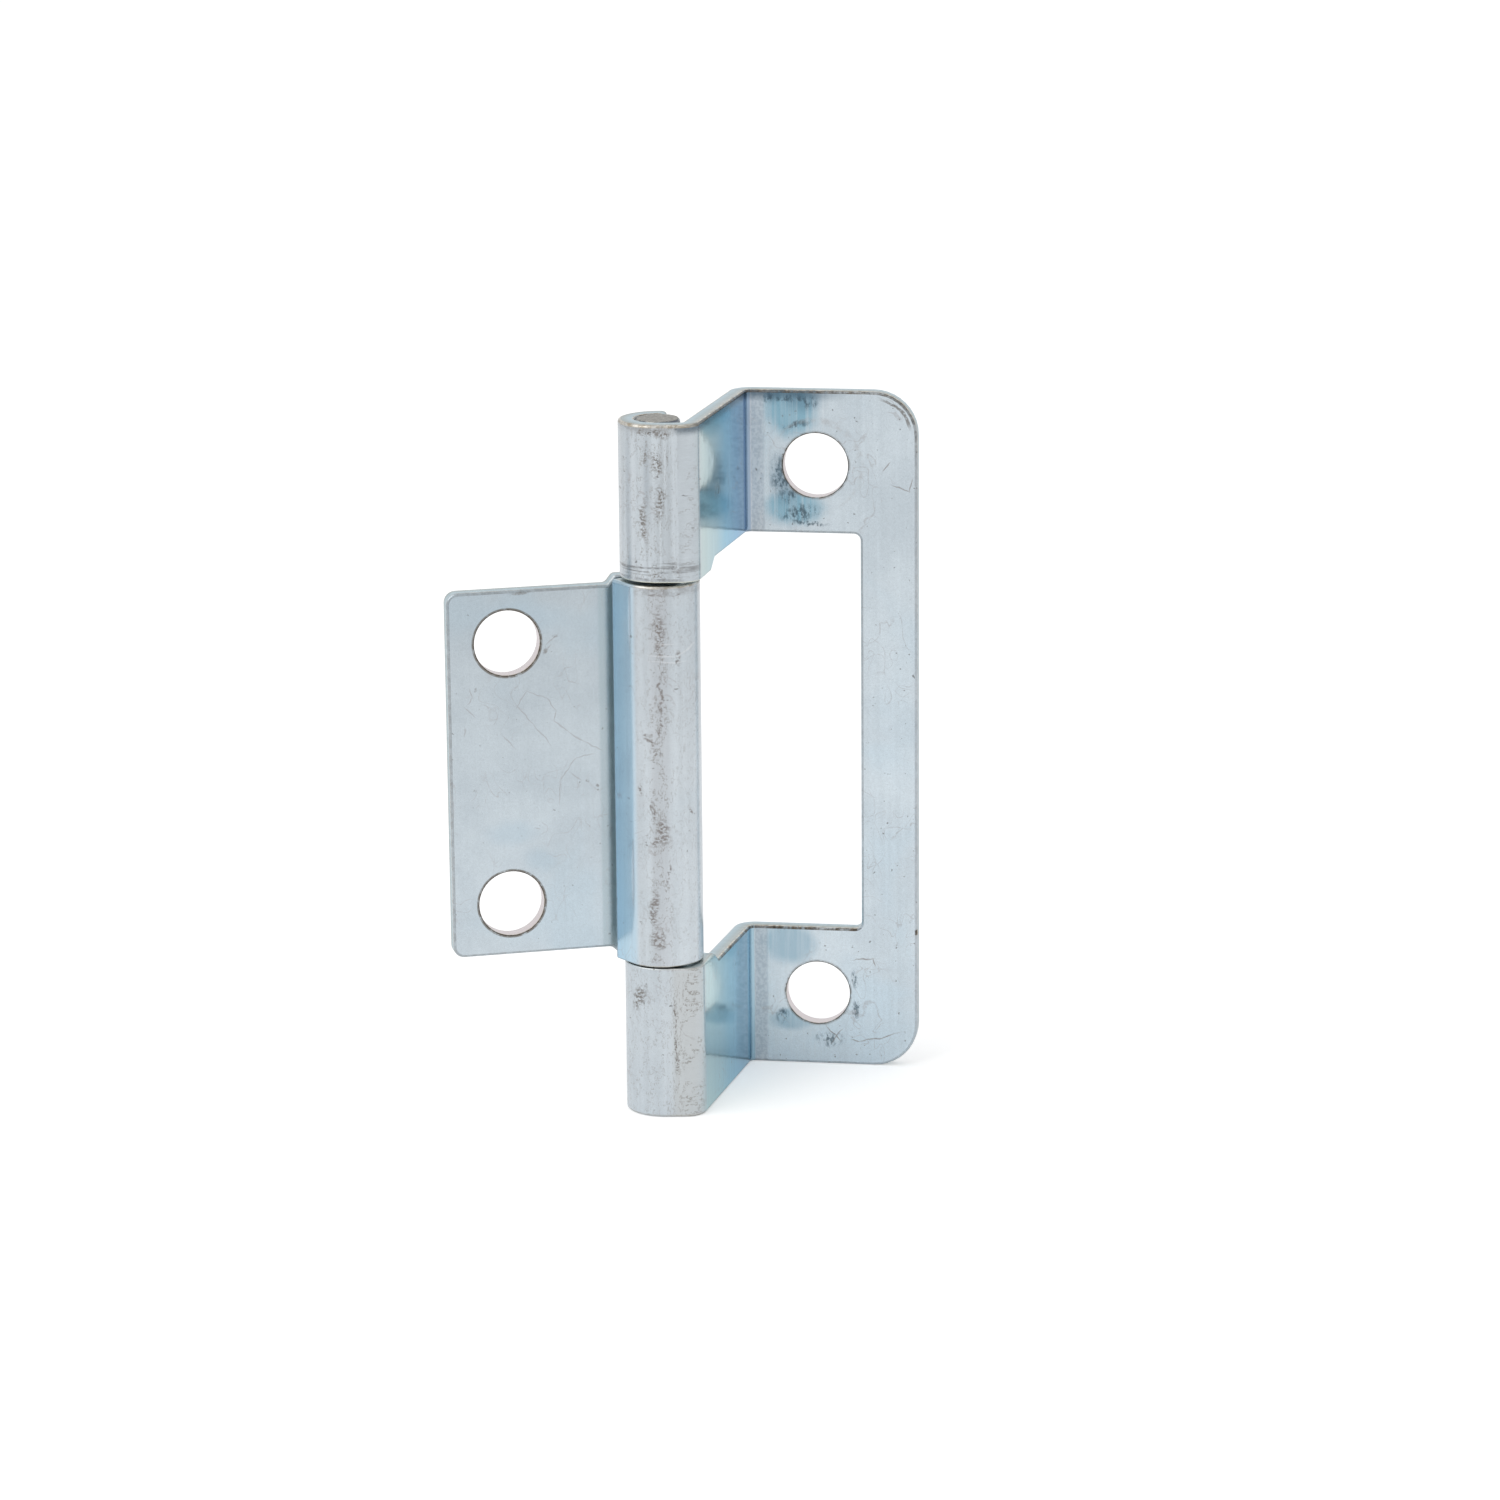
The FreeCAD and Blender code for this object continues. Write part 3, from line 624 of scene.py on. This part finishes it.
def tall_finish():
    zinc = Plating("tall_leaf_zinc")
    marks = tall_marks
    reach = marks["end"] - tall["reach"]
    start, end = marks["crank"], marks["bend"]
    outer = zinc.outer

    def leaf(*places):
        """Places on the flat leaf, given from the pin's centre, as places on the strip."""
        return [(x + reach, *rest) for x, *rest in places]

    def barrel(*places):
        """Places on the outer knuckles, given by the angle round the pin."""
        first = tall["curl_end"]
        return [(math.radians(angle - first) * PIN_RADIUS, *rest) for angle, *rest in places]

    zinc.sheet(lines=0.16)
    # Painted reflection: the plating is lighter towards the bottom and darker towards the top, for
    # the brighter floor near the hinge that the lower part mirrors.
    zinc.tone(1.19 - 0.17 * zinc.ease(zinc.up, 0.0, HINGE_HEIGHT))

    # The flat leaf: blue film where the passivate pooled, by the bend and round the screw
    # holes, and a grey, finely pitted band beside the bend.
    pooled = zinc.spots(zinc.shaky, 0.35, leaf(
        (7.75, 48.7, 1.75, 2.0, 0), (8.0, 41.5, 2.0, 1.2, 0), (7.4, 9.1, 1.9, 1.5, 0),
        (7.6, 3.3, 1.5, 0.8, 0)))
    film = zinc.blend(zinc.ease(zinc.up, 20.0, 30.0), (0.385, 0.525, 0.615),
                      (0.240, 0.420, 0.520))
    pool_lines = 0.80 + 0.25 * zinc.ease(zinc.drawn, 0.36, 0.60)
    zinc.tint(0.92 * outer * pooled * pool_lines, film)
    deep = zinc.spots(zinc.shaky, 0.7, leaf((8.6, 49.3, 1.3, 0.7, 0), (6.4, 49.6, 0.7, 0.5, 0),
                                            (7.3, 43.4, 0.9, 1.6, 10)))
    zinc.tint(0.62 * outer * deep, (0.13, 0.235, 0.315))
    band = zinc.within(zinc.along, reach + 4.55, reach + 5.70, 0.30)
    pitted = zinc.blend(zinc.ease(zinc.noise(zinc.place, 4.0, 3.0, 0.7), 0.4, 0.6),
                        (0.43, 0.475, 0.52), (0.60, 0.635, 0.665))
    zinc.tint(0.7 * outer * band, pitted)
    streaked = zinc.within(zinc.along, reach + 5.6, reach + 10.4, 0.5)
    streaks = zinc.ease(zinc.grain(6.0, 0.12), 0.50, 0.66)
    zinc.tint(0.18 * outer * streaked * streaks, (0.70, 0.75, 0.78))

    # The crank has the bluest film, deepest beside the bend, and the brightest plating. Its blue
    # is partly the film's own colour and partly a painted stand-in for the bluer reflection it
    # gives at a glancing view.
    crank = zinc.within(zinc.along, start + 0.1, end + 1.8, 0.3)
    crank_zinc = zinc.ramp(zinc.along, start, end + 2.0, (start, (0.53, 0.64, 0.66)),
                           (start + 0.9, (0.51, 0.65, 0.66)), (start + 4.0, (0.40, 0.59, 0.66)),
                           (start + 6.5, (0.245, 0.53, 0.71)), (start + 9.5, (0.205, 0.46, 0.70)),
                           (end, (0.26, 0.43, 0.63)), (end + 0.5, (0.25, 0.37, 0.52)),
                           (end + 2.0, (0.36, 0.44, 0.54)))
    # Painted reflection of the white floor: the crank goes paler and greener below 20 mm, fully
    # below 15 mm.
    painted_floor_reflection = zinc.ease(zinc.up, 20.0, 15.0)
    crank_zinc = zinc.blend(0.34 * painted_floor_reflection, crank_zinc, (0.52, 0.82, 0.88))
    crank_zinc = zinc.shade(crank_zinc, 0.86 + 0.28 * zinc.drawn)
    zinc.tint(outer * crank, crank_zinc)

    # Handling marks on the flat leaf.
    smudges = zinc.spots(zinc.ragged, 0.45, [(start + 4.4, 44.4, 1.0, 0.6, 0)] + leaf(
        (7.2, 43.6, 0.7, 1.5, 12), (7.7, 42.6, 0.6, 0.8, 0), (6.1, 49.5, 0.4, 0.35, 0),
        (9.2, 49.1, 0.45, 0.5, 25), (8.4, 41.1, 1.3, 0.5, 15), (12.4, 4.2, 0.25, 0.75, 0),
        (8.2, 47.6, 0.8, 0.25, 15), (9.0, 40.4, 1.2, 0.2, 0), (7.9, 49.4, 1.4, 0.25, 0),
        (12.2, 6.5, 0.2, 0.6, 0), (6.9, 3.6, 0.4, 0.5, 0), (10.4, 1.9, 0.9, 0.5, 0)))
    smudges = smudges * zinc.ease(zinc.grain(3.4, 1.9, 4.0, 0.75), 0.44, 0.60)
    zinc.tint(0.80 * outer * smudges, (0.085, 0.125, 0.155))
    scratches = zinc.strokes(zinc.shaky, 0.045, [leaf(*line) for line in (
        ((14.8, 44.9), (14.4, 44.3)), ((15.1, 43.2), (16.3, 42.85), (16.46, 43.7)),
        ((12.2, 8.0), (13.6, 8.1), (13.8, 7.6)),
        ((12.0, 1.86), (12.6, 1.8), (15.3, 2.46)), ((10.2, 2.9), (11.2, 1.8)),
        ((11.2, 2.6), (10.5, 1.6)))])
    scratches = scratches * (0.4 + zinc.fine)
    zinc.tint(0.8 * outer * scratches, (0.27, 0.245, 0.235))
    washer = zinc.spots(zinc.flat, 0.04, leaf((tall["hole_x"], 44.6, 3.45, 3.45, 0)))
    washer = washer * (1 - zinc.spots(zinc.flat, 0.05, leaf((9.4, 44.4, 3.3, 3.3, 0))))
    zinc.tint(0.30 * outer * washer * zinc.ease(zinc.patchy, 0.4, 0.6), (0.36, 0.33, 0.32))

    # The outer knuckles: drawing streaks, brown rubbing dirt, and rings rubbed at the gap.
    curl = outer * zinc.ease(zinc.along, start + 0.2, start - 0.3)
    zinc.tone(1.0 - 0.05 * curl)
    zinc.tint(0.4 * curl, (0.575, 0.60, 0.625))
    facing = zinc.within(zinc.along, *[place[0] for place in barrel((255,), (290,))], 0.5)
    bright = zinc.ease(zinc.grain(2.9, 0.05), 0.36, 0.64)
    upper = zinc.ease(zinc.up, 20.0, 30.0)
    zinc.tone(1.0 + curl * (0.05 + 0.10 * upper) * (bright - 0.5))
    dark_lines = zinc.spots(zinc.flat, 0.6, barrel(
        (231, 44.5, 0.16, 5.4, 0), (262, 46.5, 0.10, 2.6, 0)))
    zinc.tint(0.40 * curl * dark_lines, (0.34, 0.385, 0.43))
    pale_lines = zinc.spots(zinc.flat, 0.7, barrel(
        (239, 44.5, 0.16, 5.4, 0), (285, 5.5, 0.30, 5.0, 0)))
    zinc.tint(0.35 * curl * pale_lines, (0.68, 0.73, 0.77))
    side = zinc.ease(zinc.along, marks["curl"] + 0.2, marks["curl"] + 1.0) * (1 - upper)
    zinc.tint(0.45 * curl * side, (0.575, 0.575, 0.555))
    rubbed = zinc.contours(1.8, 0.45) * (0.40 + 0.20 * facing * upper + 0.30 * side)
    zinc.tint(curl * rubbed, zinc.DIRT)
    zinc.soiled(0.8 * curl, barrel(
        (252, 49.5, 0.11, 0.16, 0), (288, 49.3, 0.6, 0.25, 0), (261, 47.8, 0.06, 0.55, 0),
        (277.5, 47.3, 0.22, 0.9, 0), (283, 44.6, 0.3, 1.2, 0), (270, 49.4, 0.5, 0.2, 0),
        (258, 43.2, 0.15, 1.5, 0), (302, 47.8, 0.05, 0.5, 0),
        (278, 39.4, 0.3, 0.13, 0), (239, 8.7, 0.26, 0.9, -15), (307, 7.4, 0.05, 1.3, 0),
        (309, 5.0, 0.09, 1.4, 0), (313, 3.9, 0.08, 0.5, 0)), (0.17, 0.145, 0.125))
    rings = zinc.ease(zinc.grain(0.25, 5.0), 0.46, 0.58) * zinc.within(zinc.up, 39.2, 40.2, 0.4)
    zinc.tint(0.80 * curl * rings * zinc.ease(zinc.patchy, 0.35, 0.6), (0.20, 0.20, 0.205))
    crown = curl * zinc.ease(zinc.up, 49.25, 49.75) * zinc.ease(zinc.patchy, 0.30, 0.62)
    zinc.tint(0.55 * crown, (0.215, 0.205, 0.20))

    zinc.tint(zinc.hairlines(0.40), (0.335, 0.31, 0.31))
    zinc.tint(zinc.specks(0.75), (0.17, 0.17, 0.17))

    # A painted shade line of dark blue under the top edge, the sheared edges, and the walls of the
    # holes.
    painted_shade_under_top = zinc.ease(zinc.up, 49.1, 49.75) * zinc.ease(zinc.along, reach + 13.0, reach + 8.0)
    painted_shade_under_top = painted_shade_under_top * zinc.ease(zinc.along, start - 1.0, start)
    zinc.tint(0.75 * outer * painted_shade_under_top, (0.075, 0.13, 0.18))
    at_top = zinc.ease(zinc.up, 44.0, 49.0)
    meeting = curl * zinc.within(zinc.up, 38.5, 39.3, 0.1)
    from_hole = zinc.from_holes(tall_holes)
    zinc.tint(0.5 * zinc.ease(from_hole, 0.21, 0.13) * zinc.ease(zinc.patchy, 0.3, 0.6),
              zinc.SHEAR_MID)
    at_holes = zinc.ease(from_hole, 0.23, 0.17)
    # At the lower arm's top edge the dark rolled line is made stronger, as painted shade under
    # that edge.
    at_arm = zinc.within(zinc.up, tall["arm"] - 0.3, tall["arm"], 0.1) * outer
    strength = 0.32 + 0.60 * at_top + 0.60 * at_holes + 0.70 * at_arm
    zinc.sheared(strength * (1 - meeting), 0.8 * curl)
    zinc.tint(meeting * zinc.at_edge, (0.68, 0.70, 0.64))
    # A thin dark line 0.4 to 0.54 mm inside the rounded top corner: painted shade.
    round_corner = zinc.ovals(zinc.shaky, leaf((13.65, 46.8, 1, 1, 0)))
    ring = zinc.within(round_corner, 2.66, 2.80, 0.06) * zinc.ease(
        zinc.along, reach + 13.9, reach + 14.9) * zinc.ease(zinc.up, 47.1, 47.9)
    zinc.tint(0.75 * outer * ring * zinc.ease(zinc.fine, 0.30, 0.50), (0.15, 0.13, 0.115))
    zinc.walls(from_hole)

    roughness = 0.20 + 0.10 * zinc.patchy + 0.25 * outer * smudges + 0.12 * outer * band
    roughness = roughness - 0.13 * outer * crank + 0.15 * zinc.at_edge
    return zinc.plated(roughness)


tall_line, tall_marks = tall_fold()
tall_blank, tall_holes = tall_plates(tall_line, tall_marks)
tall_ends = [(height, tall_marks["crank"], tall_marks["shoulder"])
             for height in (tall["knuckle"], HINGE_HEIGHT - tall["high_knuckle"])]
tall_leaf = press("tall_leaf", strip_slab("tall_slab", tall_blank, tall_holes, tall_ends),
                  tall_line.rail("tall_rail"), tall_finish())
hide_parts("cranked_leaf")
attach(tall_leaf, "tall_leaf")


# The short leaf, pressed from the same strip. Its knuckle goes round the back
# and the right of the pin and ends in a straight lip just short of the leaf.

short = {
    "bore": 1.615, "height": 27.4, "crown": 27.55, "base": 11.1, "reach": 14.85,
    "turn": 21.5, "lip": 1.9, "lip_gap": 0.55, "corner": 0.8, "inset": 0.5, "inset_at": 2.9,
    "inset_run": 0.5, "hole_x": 10.6, "hole_z": 4.25, "curl_end": 450,
}


def short_fold():
    fold = Fold()
    bore = short["bore"]
    lean = math.degrees(math.atan2(short["lip"], bore))
    rise = math.degrees(math.asin((bore - short["lip_gap"]) / math.hypot(bore, short["lip"])))
    leave = lean + 180 - rise
    fold.to(ray(leave, bore) + ray(leave - 90, short["lip"]), ray(leave))
    flat = fold.arc(Vector((0.0, 0.0)), bore, leave, short["curl_end"])
    curled = math.degrees((flat - short["lip"]) / bore)
    marks = {"flat": flat, "lip_angle": short["curl_end"] - curled}
    behind = Vector((0.0, 1.0))
    marks["inset"] = fold.to(Vector((-short["inset_at"], bore)), behind)
    marks["inset_end"] = fold.to(Vector((-short["inset_at"] - short["inset_run"], bore)), behind)
    marks["end"] = fold.to(Vector((-short["reach"], bore)), behind)
    return fold, marks


def short_plates(fold, marks):
    top, crown, inset = short["height"], short["crown"], short["inset"]
    seam_low, seam_high = short["hole_z"], top - short["hole_z"]
    plates = []
    stations = [length for length in fold.lengths if length <= marks["inset"] + SAME]
    for here, there in zip(stations, stations[1:]):
        plates.append([(here, 0), (there, 0), (there, crown), (here, crown)])
    start, slope, end = marks["inset"], marks["inset_end"], marks["end"]
    plates.append([(start, 0), (slope, inset), (slope, seam_low), (slope, seam_high),
                   (slope, top - inset), (start, crown)])
    hole = end - (short["reach"] - short["hole_x"])
    holes = [(hole, seam_low), (hole, seam_high)]
    plates += holed_plates((slope, end), (inset, top - inset), short["corner"],
                           SMALL_CORNER_SIDES, holes)
    return plates, holes


def short_finish():
    zinc = Plating("short_leaf_zinc")
    marks = short_marks
    reach = marks["end"] - short["reach"]
    inner = zinc.ease(zinc.depth, -0.45 * SHEET, -0.25 * SHEET)
    outer = zinc.outer

    def leaf(*places):
        """Places on the flat leaf, given from the pin's centre, as places on the strip."""
        return [(reach - x, *rest) for x, *rest in places]

    def barrel(*places):
        """Places on the knuckle, given by the angle round the pin and the hinge's height."""
        first = short["turn"] + marks["lip_angle"]
        return [(short["lip"] + math.radians(angle - first) * short["bore"],
                 up - short["base"], *rest) for angle, up, *rest in places]

    zinc.sheet(lines=0.07)
    # Painted reflection: the plating is lighter towards the bottom and darker towards the top, for
    # the brighter floor near the hinge that the lower part mirrors.
    zinc.tone(1.10 - 0.16 * zinc.ease(zinc.up, 0.0, 27.0))

    # The flat leaf: a darker teal band beside the lip, a painted reflection of the barrel and of
    # the dark gap at the lip, and the marks of handling.
    painted_groove_reflection = zinc.within(zinc.along, reach + 3.25, reach + 3.95, 0.25)
    zinc.tint(0.55 * inner * painted_groove_reflection, (0.40, 0.50, 0.54))
    sheen = zinc.spots(zinc.shaky, 0.6, leaf((-8.5, 7.3, 1.1, 0.7, 20), (-10.5, 9.4, 1.6, 0.8, 0),
                                             (-9.3, 24.8, 3.0, 1.0, 0)))
    zinc.tint(0.30 * inner * sheen, (0.43, 0.57, 0.67))
    scratches = zinc.strokes(zinc.shaky, 0.04, [leaf(*line) for line in (
        ((-9.3, 19.7), (-10.0, 18.6), (-8.8, 17.2), (-7.7, 15.7)),
        ((-9.3, 19.7), (-7.8, 19.0), (-7.3, 18.1), (-7.35, 17.3), (-6.4, 16.5), (-5.2, 15.7),
         (-3.95, 15.0)),
        ((-7.0, 23.6), (-7.8, 22.9)), ((-7.5, 22.8), (-7.9, 22.3)),
        ((-13.3, 20.0), (-13.15, 19.4), (-13.45, 18.9)), ((-13.7, 18.7), (-13.0, 18.0)),
        ((-13.7, 17.25), (-13.7, 16.7)), ((-11.0, 16.5), (-10.2, 15.6)),
        ((-6.3, 14.0), (-5.8, 14.55), (-4.7, 14.8)), ((-6.3, 13.9), (-7.0, 13.0), (-7.05, 11.4)),
        ((-8.75, 9.7), (-8.4, 9.6)), ((-6.1, 13.5), (-5.5, 12.9)))])
    scratches = scratches * (0.25 + zinc.fine)
    zinc.tint(0.55 * inner * scratches, (0.33, 0.30, 0.30))
    spots = zinc.spots(zinc.shaky, 0.5, leaf(
        (-5.0, 12.8, 0.12, 0.1, 0), (-4.25, 12.45, 0.1, 0.12, 0), (-13.1, 12.65, 0.12, 0.1, 0),
        (-7.9, 22.4, 0.12, 0.22, 30), (-7.2, 23.5, 0.2, 0.1, 0), (-9.6, 26.7, 0.6, 0.12, 0),
        (-12.9, 19.9, 0.1, 0.14, 0)))
    zinc.tint(0.6 * inner * spots * zinc.ease(zinc.fine, 0.35, 0.55), (0.20, 0.18, 0.165))

    # The lip and the knuckle: a bluer film on the lip, drawing streaks, and brown dirt
    # rubbed in by the hand along the front of the barrel.
    lip = outer * zinc.ease(zinc.along, short["lip"] + 0.50, short["lip"] + 0.15)
    lip_zinc = zinc.ramp(zinc.along, 0.0, 2.6, (0.0, (0.43, 0.63, 0.78)),
                         (1.2, (0.49, 0.67, 0.79)), (2.3, (0.56, 0.70, 0.80)))
    lip_zinc = zinc.shade(lip_zinc, 0.9 + 0.2 * zinc.drawn)
    zinc.tint(lip, lip_zinc)
    curl = outer * zinc.within(zinc.along, short["lip"] + 0.5, marks["flat"] - 0.2, 0.2)
    left, middle, right = [place[0] for place in barrel((258, 0), (268, 0), (298, 0))]
    facing = zinc.ease(zinc.along, left, middle) * zinc.ease(zinc.along, right, middle + 0.4)
    zinc.tint(0.4 * curl, (0.60, 0.625, 0.65))
    # A darker grey band down the front of the barrel, where it faces the camera: painted
    # reflection of the dark camera side.
    zinc.tint(0.45 * curl * facing, (0.525, 0.545, 0.575))
    # Lighter where the barrel turns away to the right: painted light.
    turned = zinc.ease(zinc.along, right - 0.3, right + 0.2)
    zinc.tone(1.0 + 0.08 * curl * turned)
    bright = zinc.ease(zinc.grain(2.4, 0.05), 0.40, 0.64)
    zinc.tone(1.0 + 0.07 * curl * (bright - 0.5))
    rubbed = zinc.contours(1.7, 0.45) * (0.30 + 0.40 * facing)
    zinc.tint(curl * rubbed, zinc.DIRT)
    crown = zinc.ease(zinc.up, short["height"] - 0.75, short["height"] - 0.3)
    zinc.tint(0.5 * curl * crown * zinc.ease(zinc.patchy, 0.35, 0.65), (0.22, 0.21, 0.205))
    zinc.soiled(0.75 * curl, barrel(
        (277, 35.2, 0.22, 1.6, 0), (279, 31.0, 0.07, 1.4, 0), (278, 30.0, 0.12, 0.5, 0),
        (279, 28.6, 0.06, 1.0, 0), (260, 28.0, 0.14, 0.12, 0), (263.5, 27.6, 0.1, 0.3, 40),
        (266.5, 26.9, 0.08, 0.5, 0), (248, 24.0, 0.05, 0.4, 0), (266, 22.6, 0.12, 0.7, 0),
        (279, 21.0, 0.28, 0.9, 0), (270, 20.4, 0.14, 0.5, 0), (266, 15.4, 0.18, 1.3, 0),
        (270, 13.2, 0.32, 0.7, 0), (259, 17.2, 0.05, 0.06, 0), (288, 18.0, 0.05, 0.9, 0),
        (303, 33.4, 0.1, 0.5, 0), (302, 38.0, 0.14, 0.16, 0), (271, 38.0, 0.3, 0.12, 0),
        (325, 22.4, 0.06, 0.3, 0)), (0.19, 0.16, 0.145))
    rubs = zinc.strokes(zinc.shaky, 0.05, [barrel(*line) for line in (
        ((262, 33.8), (300, 33.6)), ((300, 33.6), (338, 34.4)), ((264, 33.3), (322, 33.1)),
        ((272, 34.6), (300, 34.5)))])
    zinc.tint(0.35 * curl * rubs, (0.78, 0.80, 0.82))

    zinc.tint(zinc.hairlines(0.34), (0.36, 0.33, 0.33))
    zinc.tint(zinc.specks(0.6), (0.19, 0.185, 0.18))
    from_hole = zinc.from_holes(short_holes)
    zinc.tint(0.85 * zinc.ease(from_hole, 0.22, 0.15) * zinc.ease(zinc.patchy, 0.25, 0.55),
              zinc.SHEAR_MID)
    strength = 0.42 + 0.85 * zinc.ease(from_hole, 0.23, 0.17) + 0.4 * curl
    zinc.sheared(strength, 0.8 * curl)
    zinc.walls(from_hole)
    roughness = 0.20 + 0.10 * zinc.patchy + 0.15 * zinc.at_edge
    return zinc.plated(roughness - 0.06 * lip)


short_line, short_marks = short_fold()
short_blank, short_holes = short_plates(short_line, short_marks)
short_ends = [(0.0, short_marks["flat"], short_marks["inset"])]
short_leaf = press("short_leaf", strip_slab("short_slab", short_blank, short_holes, short_ends),
                   short_line.rail("short_rail"), short_finish(), short["base"],
                   short["turn"])
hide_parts("small_leaf")
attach(short_leaf, "short_leaf")


# The pin, a cut of drawn wire that runs the whole height. The outer knuckles
# grip it, and its sheared ends lie flush with theirs.

def wire_pin(radius, chamfer, sides=64):
    rings = (0.0, 0.55, 1.1, radius - chamfer)
    outline = ([(r, 0.0) for r in rings] + [(radius, chamfer), (radius, HINGE_HEIGHT - chamfer)]
               + [(r, HINGE_HEIGHT) for r in reversed(rings)])
    shape = bmesh.new()
    line = [shape.verts.new((r * MM, 0.0, z * MM)) for r, z in outline]
    edges = [shape.edges.new(pair) for pair in zip(line, line[1:])]
    bmesh.ops.spin(shape, geom=line + edges, axis=(0, 0, 1), cent=(0, 0, 0),
                   angle=math.tau, steps=sides)
    bmesh.ops.remove_doubles(shape, verts=shape.verts, dist=1e-7)
    bmesh.ops.recalc_face_normals(shape, faces=shape.faces)
    for face in shape.faces:
        face.smooth = abs(face.normal.z) < 0.5
    mesh = bpy.data.meshes.new("pin")
    shape.to_mesh(mesh)
    shape.free()
    return add_object("pin", mesh)


def pin_finish():
    wire = Finish("pin_wire")
    spot = wire.node("ShaderNodeTexCoord").outputs["Object"]
    place = wire.stretch(spot, 1 / MM, 1 / MM, 1 / MM)
    split = wire.node("ShaderNodeSeparateXYZ", {}, {"Vector": place}).outputs
    up = Value(wire, split["Z"])
    across = wire.stretch(place, 1.0, 1.0, 0.0)
    radius = wire.node("ShaderNodeVectorMath", {"operation": "LENGTH"}, {0: across})
    radius = Value(wire, radius.outputs["Value"])

    drawn = wire.noise(wire.stretch(place, 2.5, 2.5, 0.05), 1.0, 3.0, 0.6)
    colour = wire.blend(drawn, (0.40, 0.44, 0.47), (0.60, 0.64, 0.67))
    # Painted shade: the pin is made near black where it shows in the gaps between the knuckles.
    painted_gap_shade = wire.within(up, 38.3, 39.2, 0.15) + wire.within(up, 10.8, 11.3, 0.15)
    colour = wire.blend(0.92 * painted_gap_shade, colour, (0.045, 0.045, 0.045))

    # The sheared ends are dull and torn, with a dark line where they meet the knuckle.
    end = wire.ease(up, HINGE_HEIGHT - 0.1, HINGE_HEIGHT - 0.02)
    end = end + wire.ease(up, 0.1, 0.02)
    torn = wire.noise(place, 3.6, 4.0, 0.7)
    sheared = wire.blend(wire.ease(torn, 0.34, 0.66), (0.20, 0.195, 0.18),
                         (0.38, 0.375, 0.345))
    pale = wire.ease(wire.noise(place, 6.0, 2.0, 0.5), 0.62, 0.70)
    sheared = wire.blend(0.6 * pale, sheared, (0.66, 0.66, 0.62))
    colour = wire.blend(end, colour, sheared)
    seam = wire.ease(radius, 1.40, 1.50) * wire.ease(wire.noise(place, 0.9, 3.0, 0.6), 0.38, 0.5)
    rim = wire.ease(up, HINGE_HEIGHT - 0.2, HINGE_HEIGHT - 0.12) + wire.ease(up, 0.2, 0.12)
    colour = wire.blend(0.85 * rim * seam, colour, (0.06, 0.075, 0.105))
    height = torn + 0.4 * wire.noise(place, 1.2, 2.0, 0.5)
    return wire.metal(colour, 0.28 + 0.16 * end, height * end, 0.03)


pin = wire_pin(PIN_RADIUS, 0.15)
pin.data.materials.append(pin_finish())
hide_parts("hinge_pin")
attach(pin, "tall_leaf")


# The studio: a pale floor that carries the hinge, white all round, a large soft
# lamp above on the left, and the camera where the photograph's stood.

def seen_more(finish, base, camera, mirror):
    """A strength that is base for light, and higher where the camera or a gloss sees it."""
    sees = finish.node("ShaderNodeLightPath").outputs
    straight = Value(finish, sees["Is Camera Ray"])
    straight = straight.maths("MAXIMUM", straight, sees["Is Transmission Ray"])
    glossy = Value(finish, sees["Is Glossy Ray"])
    return base + (camera - base) * straight + (mirror - base) * glossy


world = bpy.data.worlds.new("studio")
bpy.context.scene.world = world
sky = Finish(world)
glow = sky.node("ShaderNodeBackground", {},
                {"Color": (1, 1, 1, 1),
                 "Strength": seen_more(sky, base=0.75, camera=1.0, mirror=0.92)})
sky.node("ShaderNodeOutputWorld", {}, {"Surface": glow.outputs[0]})

FLOOR_REACH = 2
floor_mesh = bpy.data.meshes.new("floor")
floor_mesh.from_pydata([(x * FLOOR_REACH, y * FLOOR_REACH, 0)
                        for x, y in ((-1, -1), (1, -1), (1, 1), (-1, 1))], [], [(0, 1, 2, 3)])
floor = add_object("floor", floor_mesh)
card = Finish("floor_white")
paint = card.node("ShaderNodeBsdfDiffuse", {}, {"Color": (0.9, 0.9, 0.9, 1)})
glow = card.node("ShaderNodeEmission", {},
                 {"Color": (1, 1, 1, 1),
                  "Strength": seen_more(card, base=0.0, camera=0.3, mirror=0.1)})
both = card.node("ShaderNodeAddShader", {}, {0: paint.outputs[0], 1: glow.outputs[0]})
card.node("ShaderNodeOutputMaterial", {}, {"Surface": both.outputs[0]})
floor_mesh.materials.append(card.owner)

lamp = bpy.data.lights.new("key", "AREA")
lamp.shape = "SQUARE"
lamp.size = 0.9
lamp.energy = 3.8
key = add_object("key", lamp)
key.location = (-0.55, -0.45, 0.75)
hinge_middle = Vector((0.0, 0.0, HINGE_HEIGHT / 2 * MM))
key.rotation_euler = (hinge_middle - key.location).to_track_quat("-Z", "Y").to_euler()

# The camera, fitted to the hinge's outline in the photograph, which is square.
PHOTO_PIXELS = 1500
FOCAL_PIXELS = 5490.0
camera_data = bpy.data.cameras.new("camera")
camera_data.sensor_width = 36.0
camera_data.lens = FOCAL_PIXELS / PHOTO_PIXELS * camera_data.sensor_width
camera_data.clip_start = 0.01
camera = add_object("camera", camera_data)
camera_place = (60.009 * MM, -368.910 * MM, 123.200 * MM)
pitch, yaw, roll = 0.25399, 0.14463, -0.00824
ahead = Vector((-math.sin(yaw) * math.cos(pitch), math.cos(yaw) * math.cos(pitch),
                -math.sin(pitch)))
right = Vector((math.cos(yaw), math.sin(yaw), 0))
up = right.cross(ahead)
right, up = (right * math.cos(roll) + up * math.sin(roll),
             up * math.cos(roll) - right * math.sin(roll))
camera.matrix_world = Matrix((
    *((right[i], up[i], -ahead[i], camera_place[i]) for i in range(3)), (0, 0, 0, 1)))
bpy.context.scene.camera = camera
bpy.context.scene.view_settings.view_transform = "Standard"
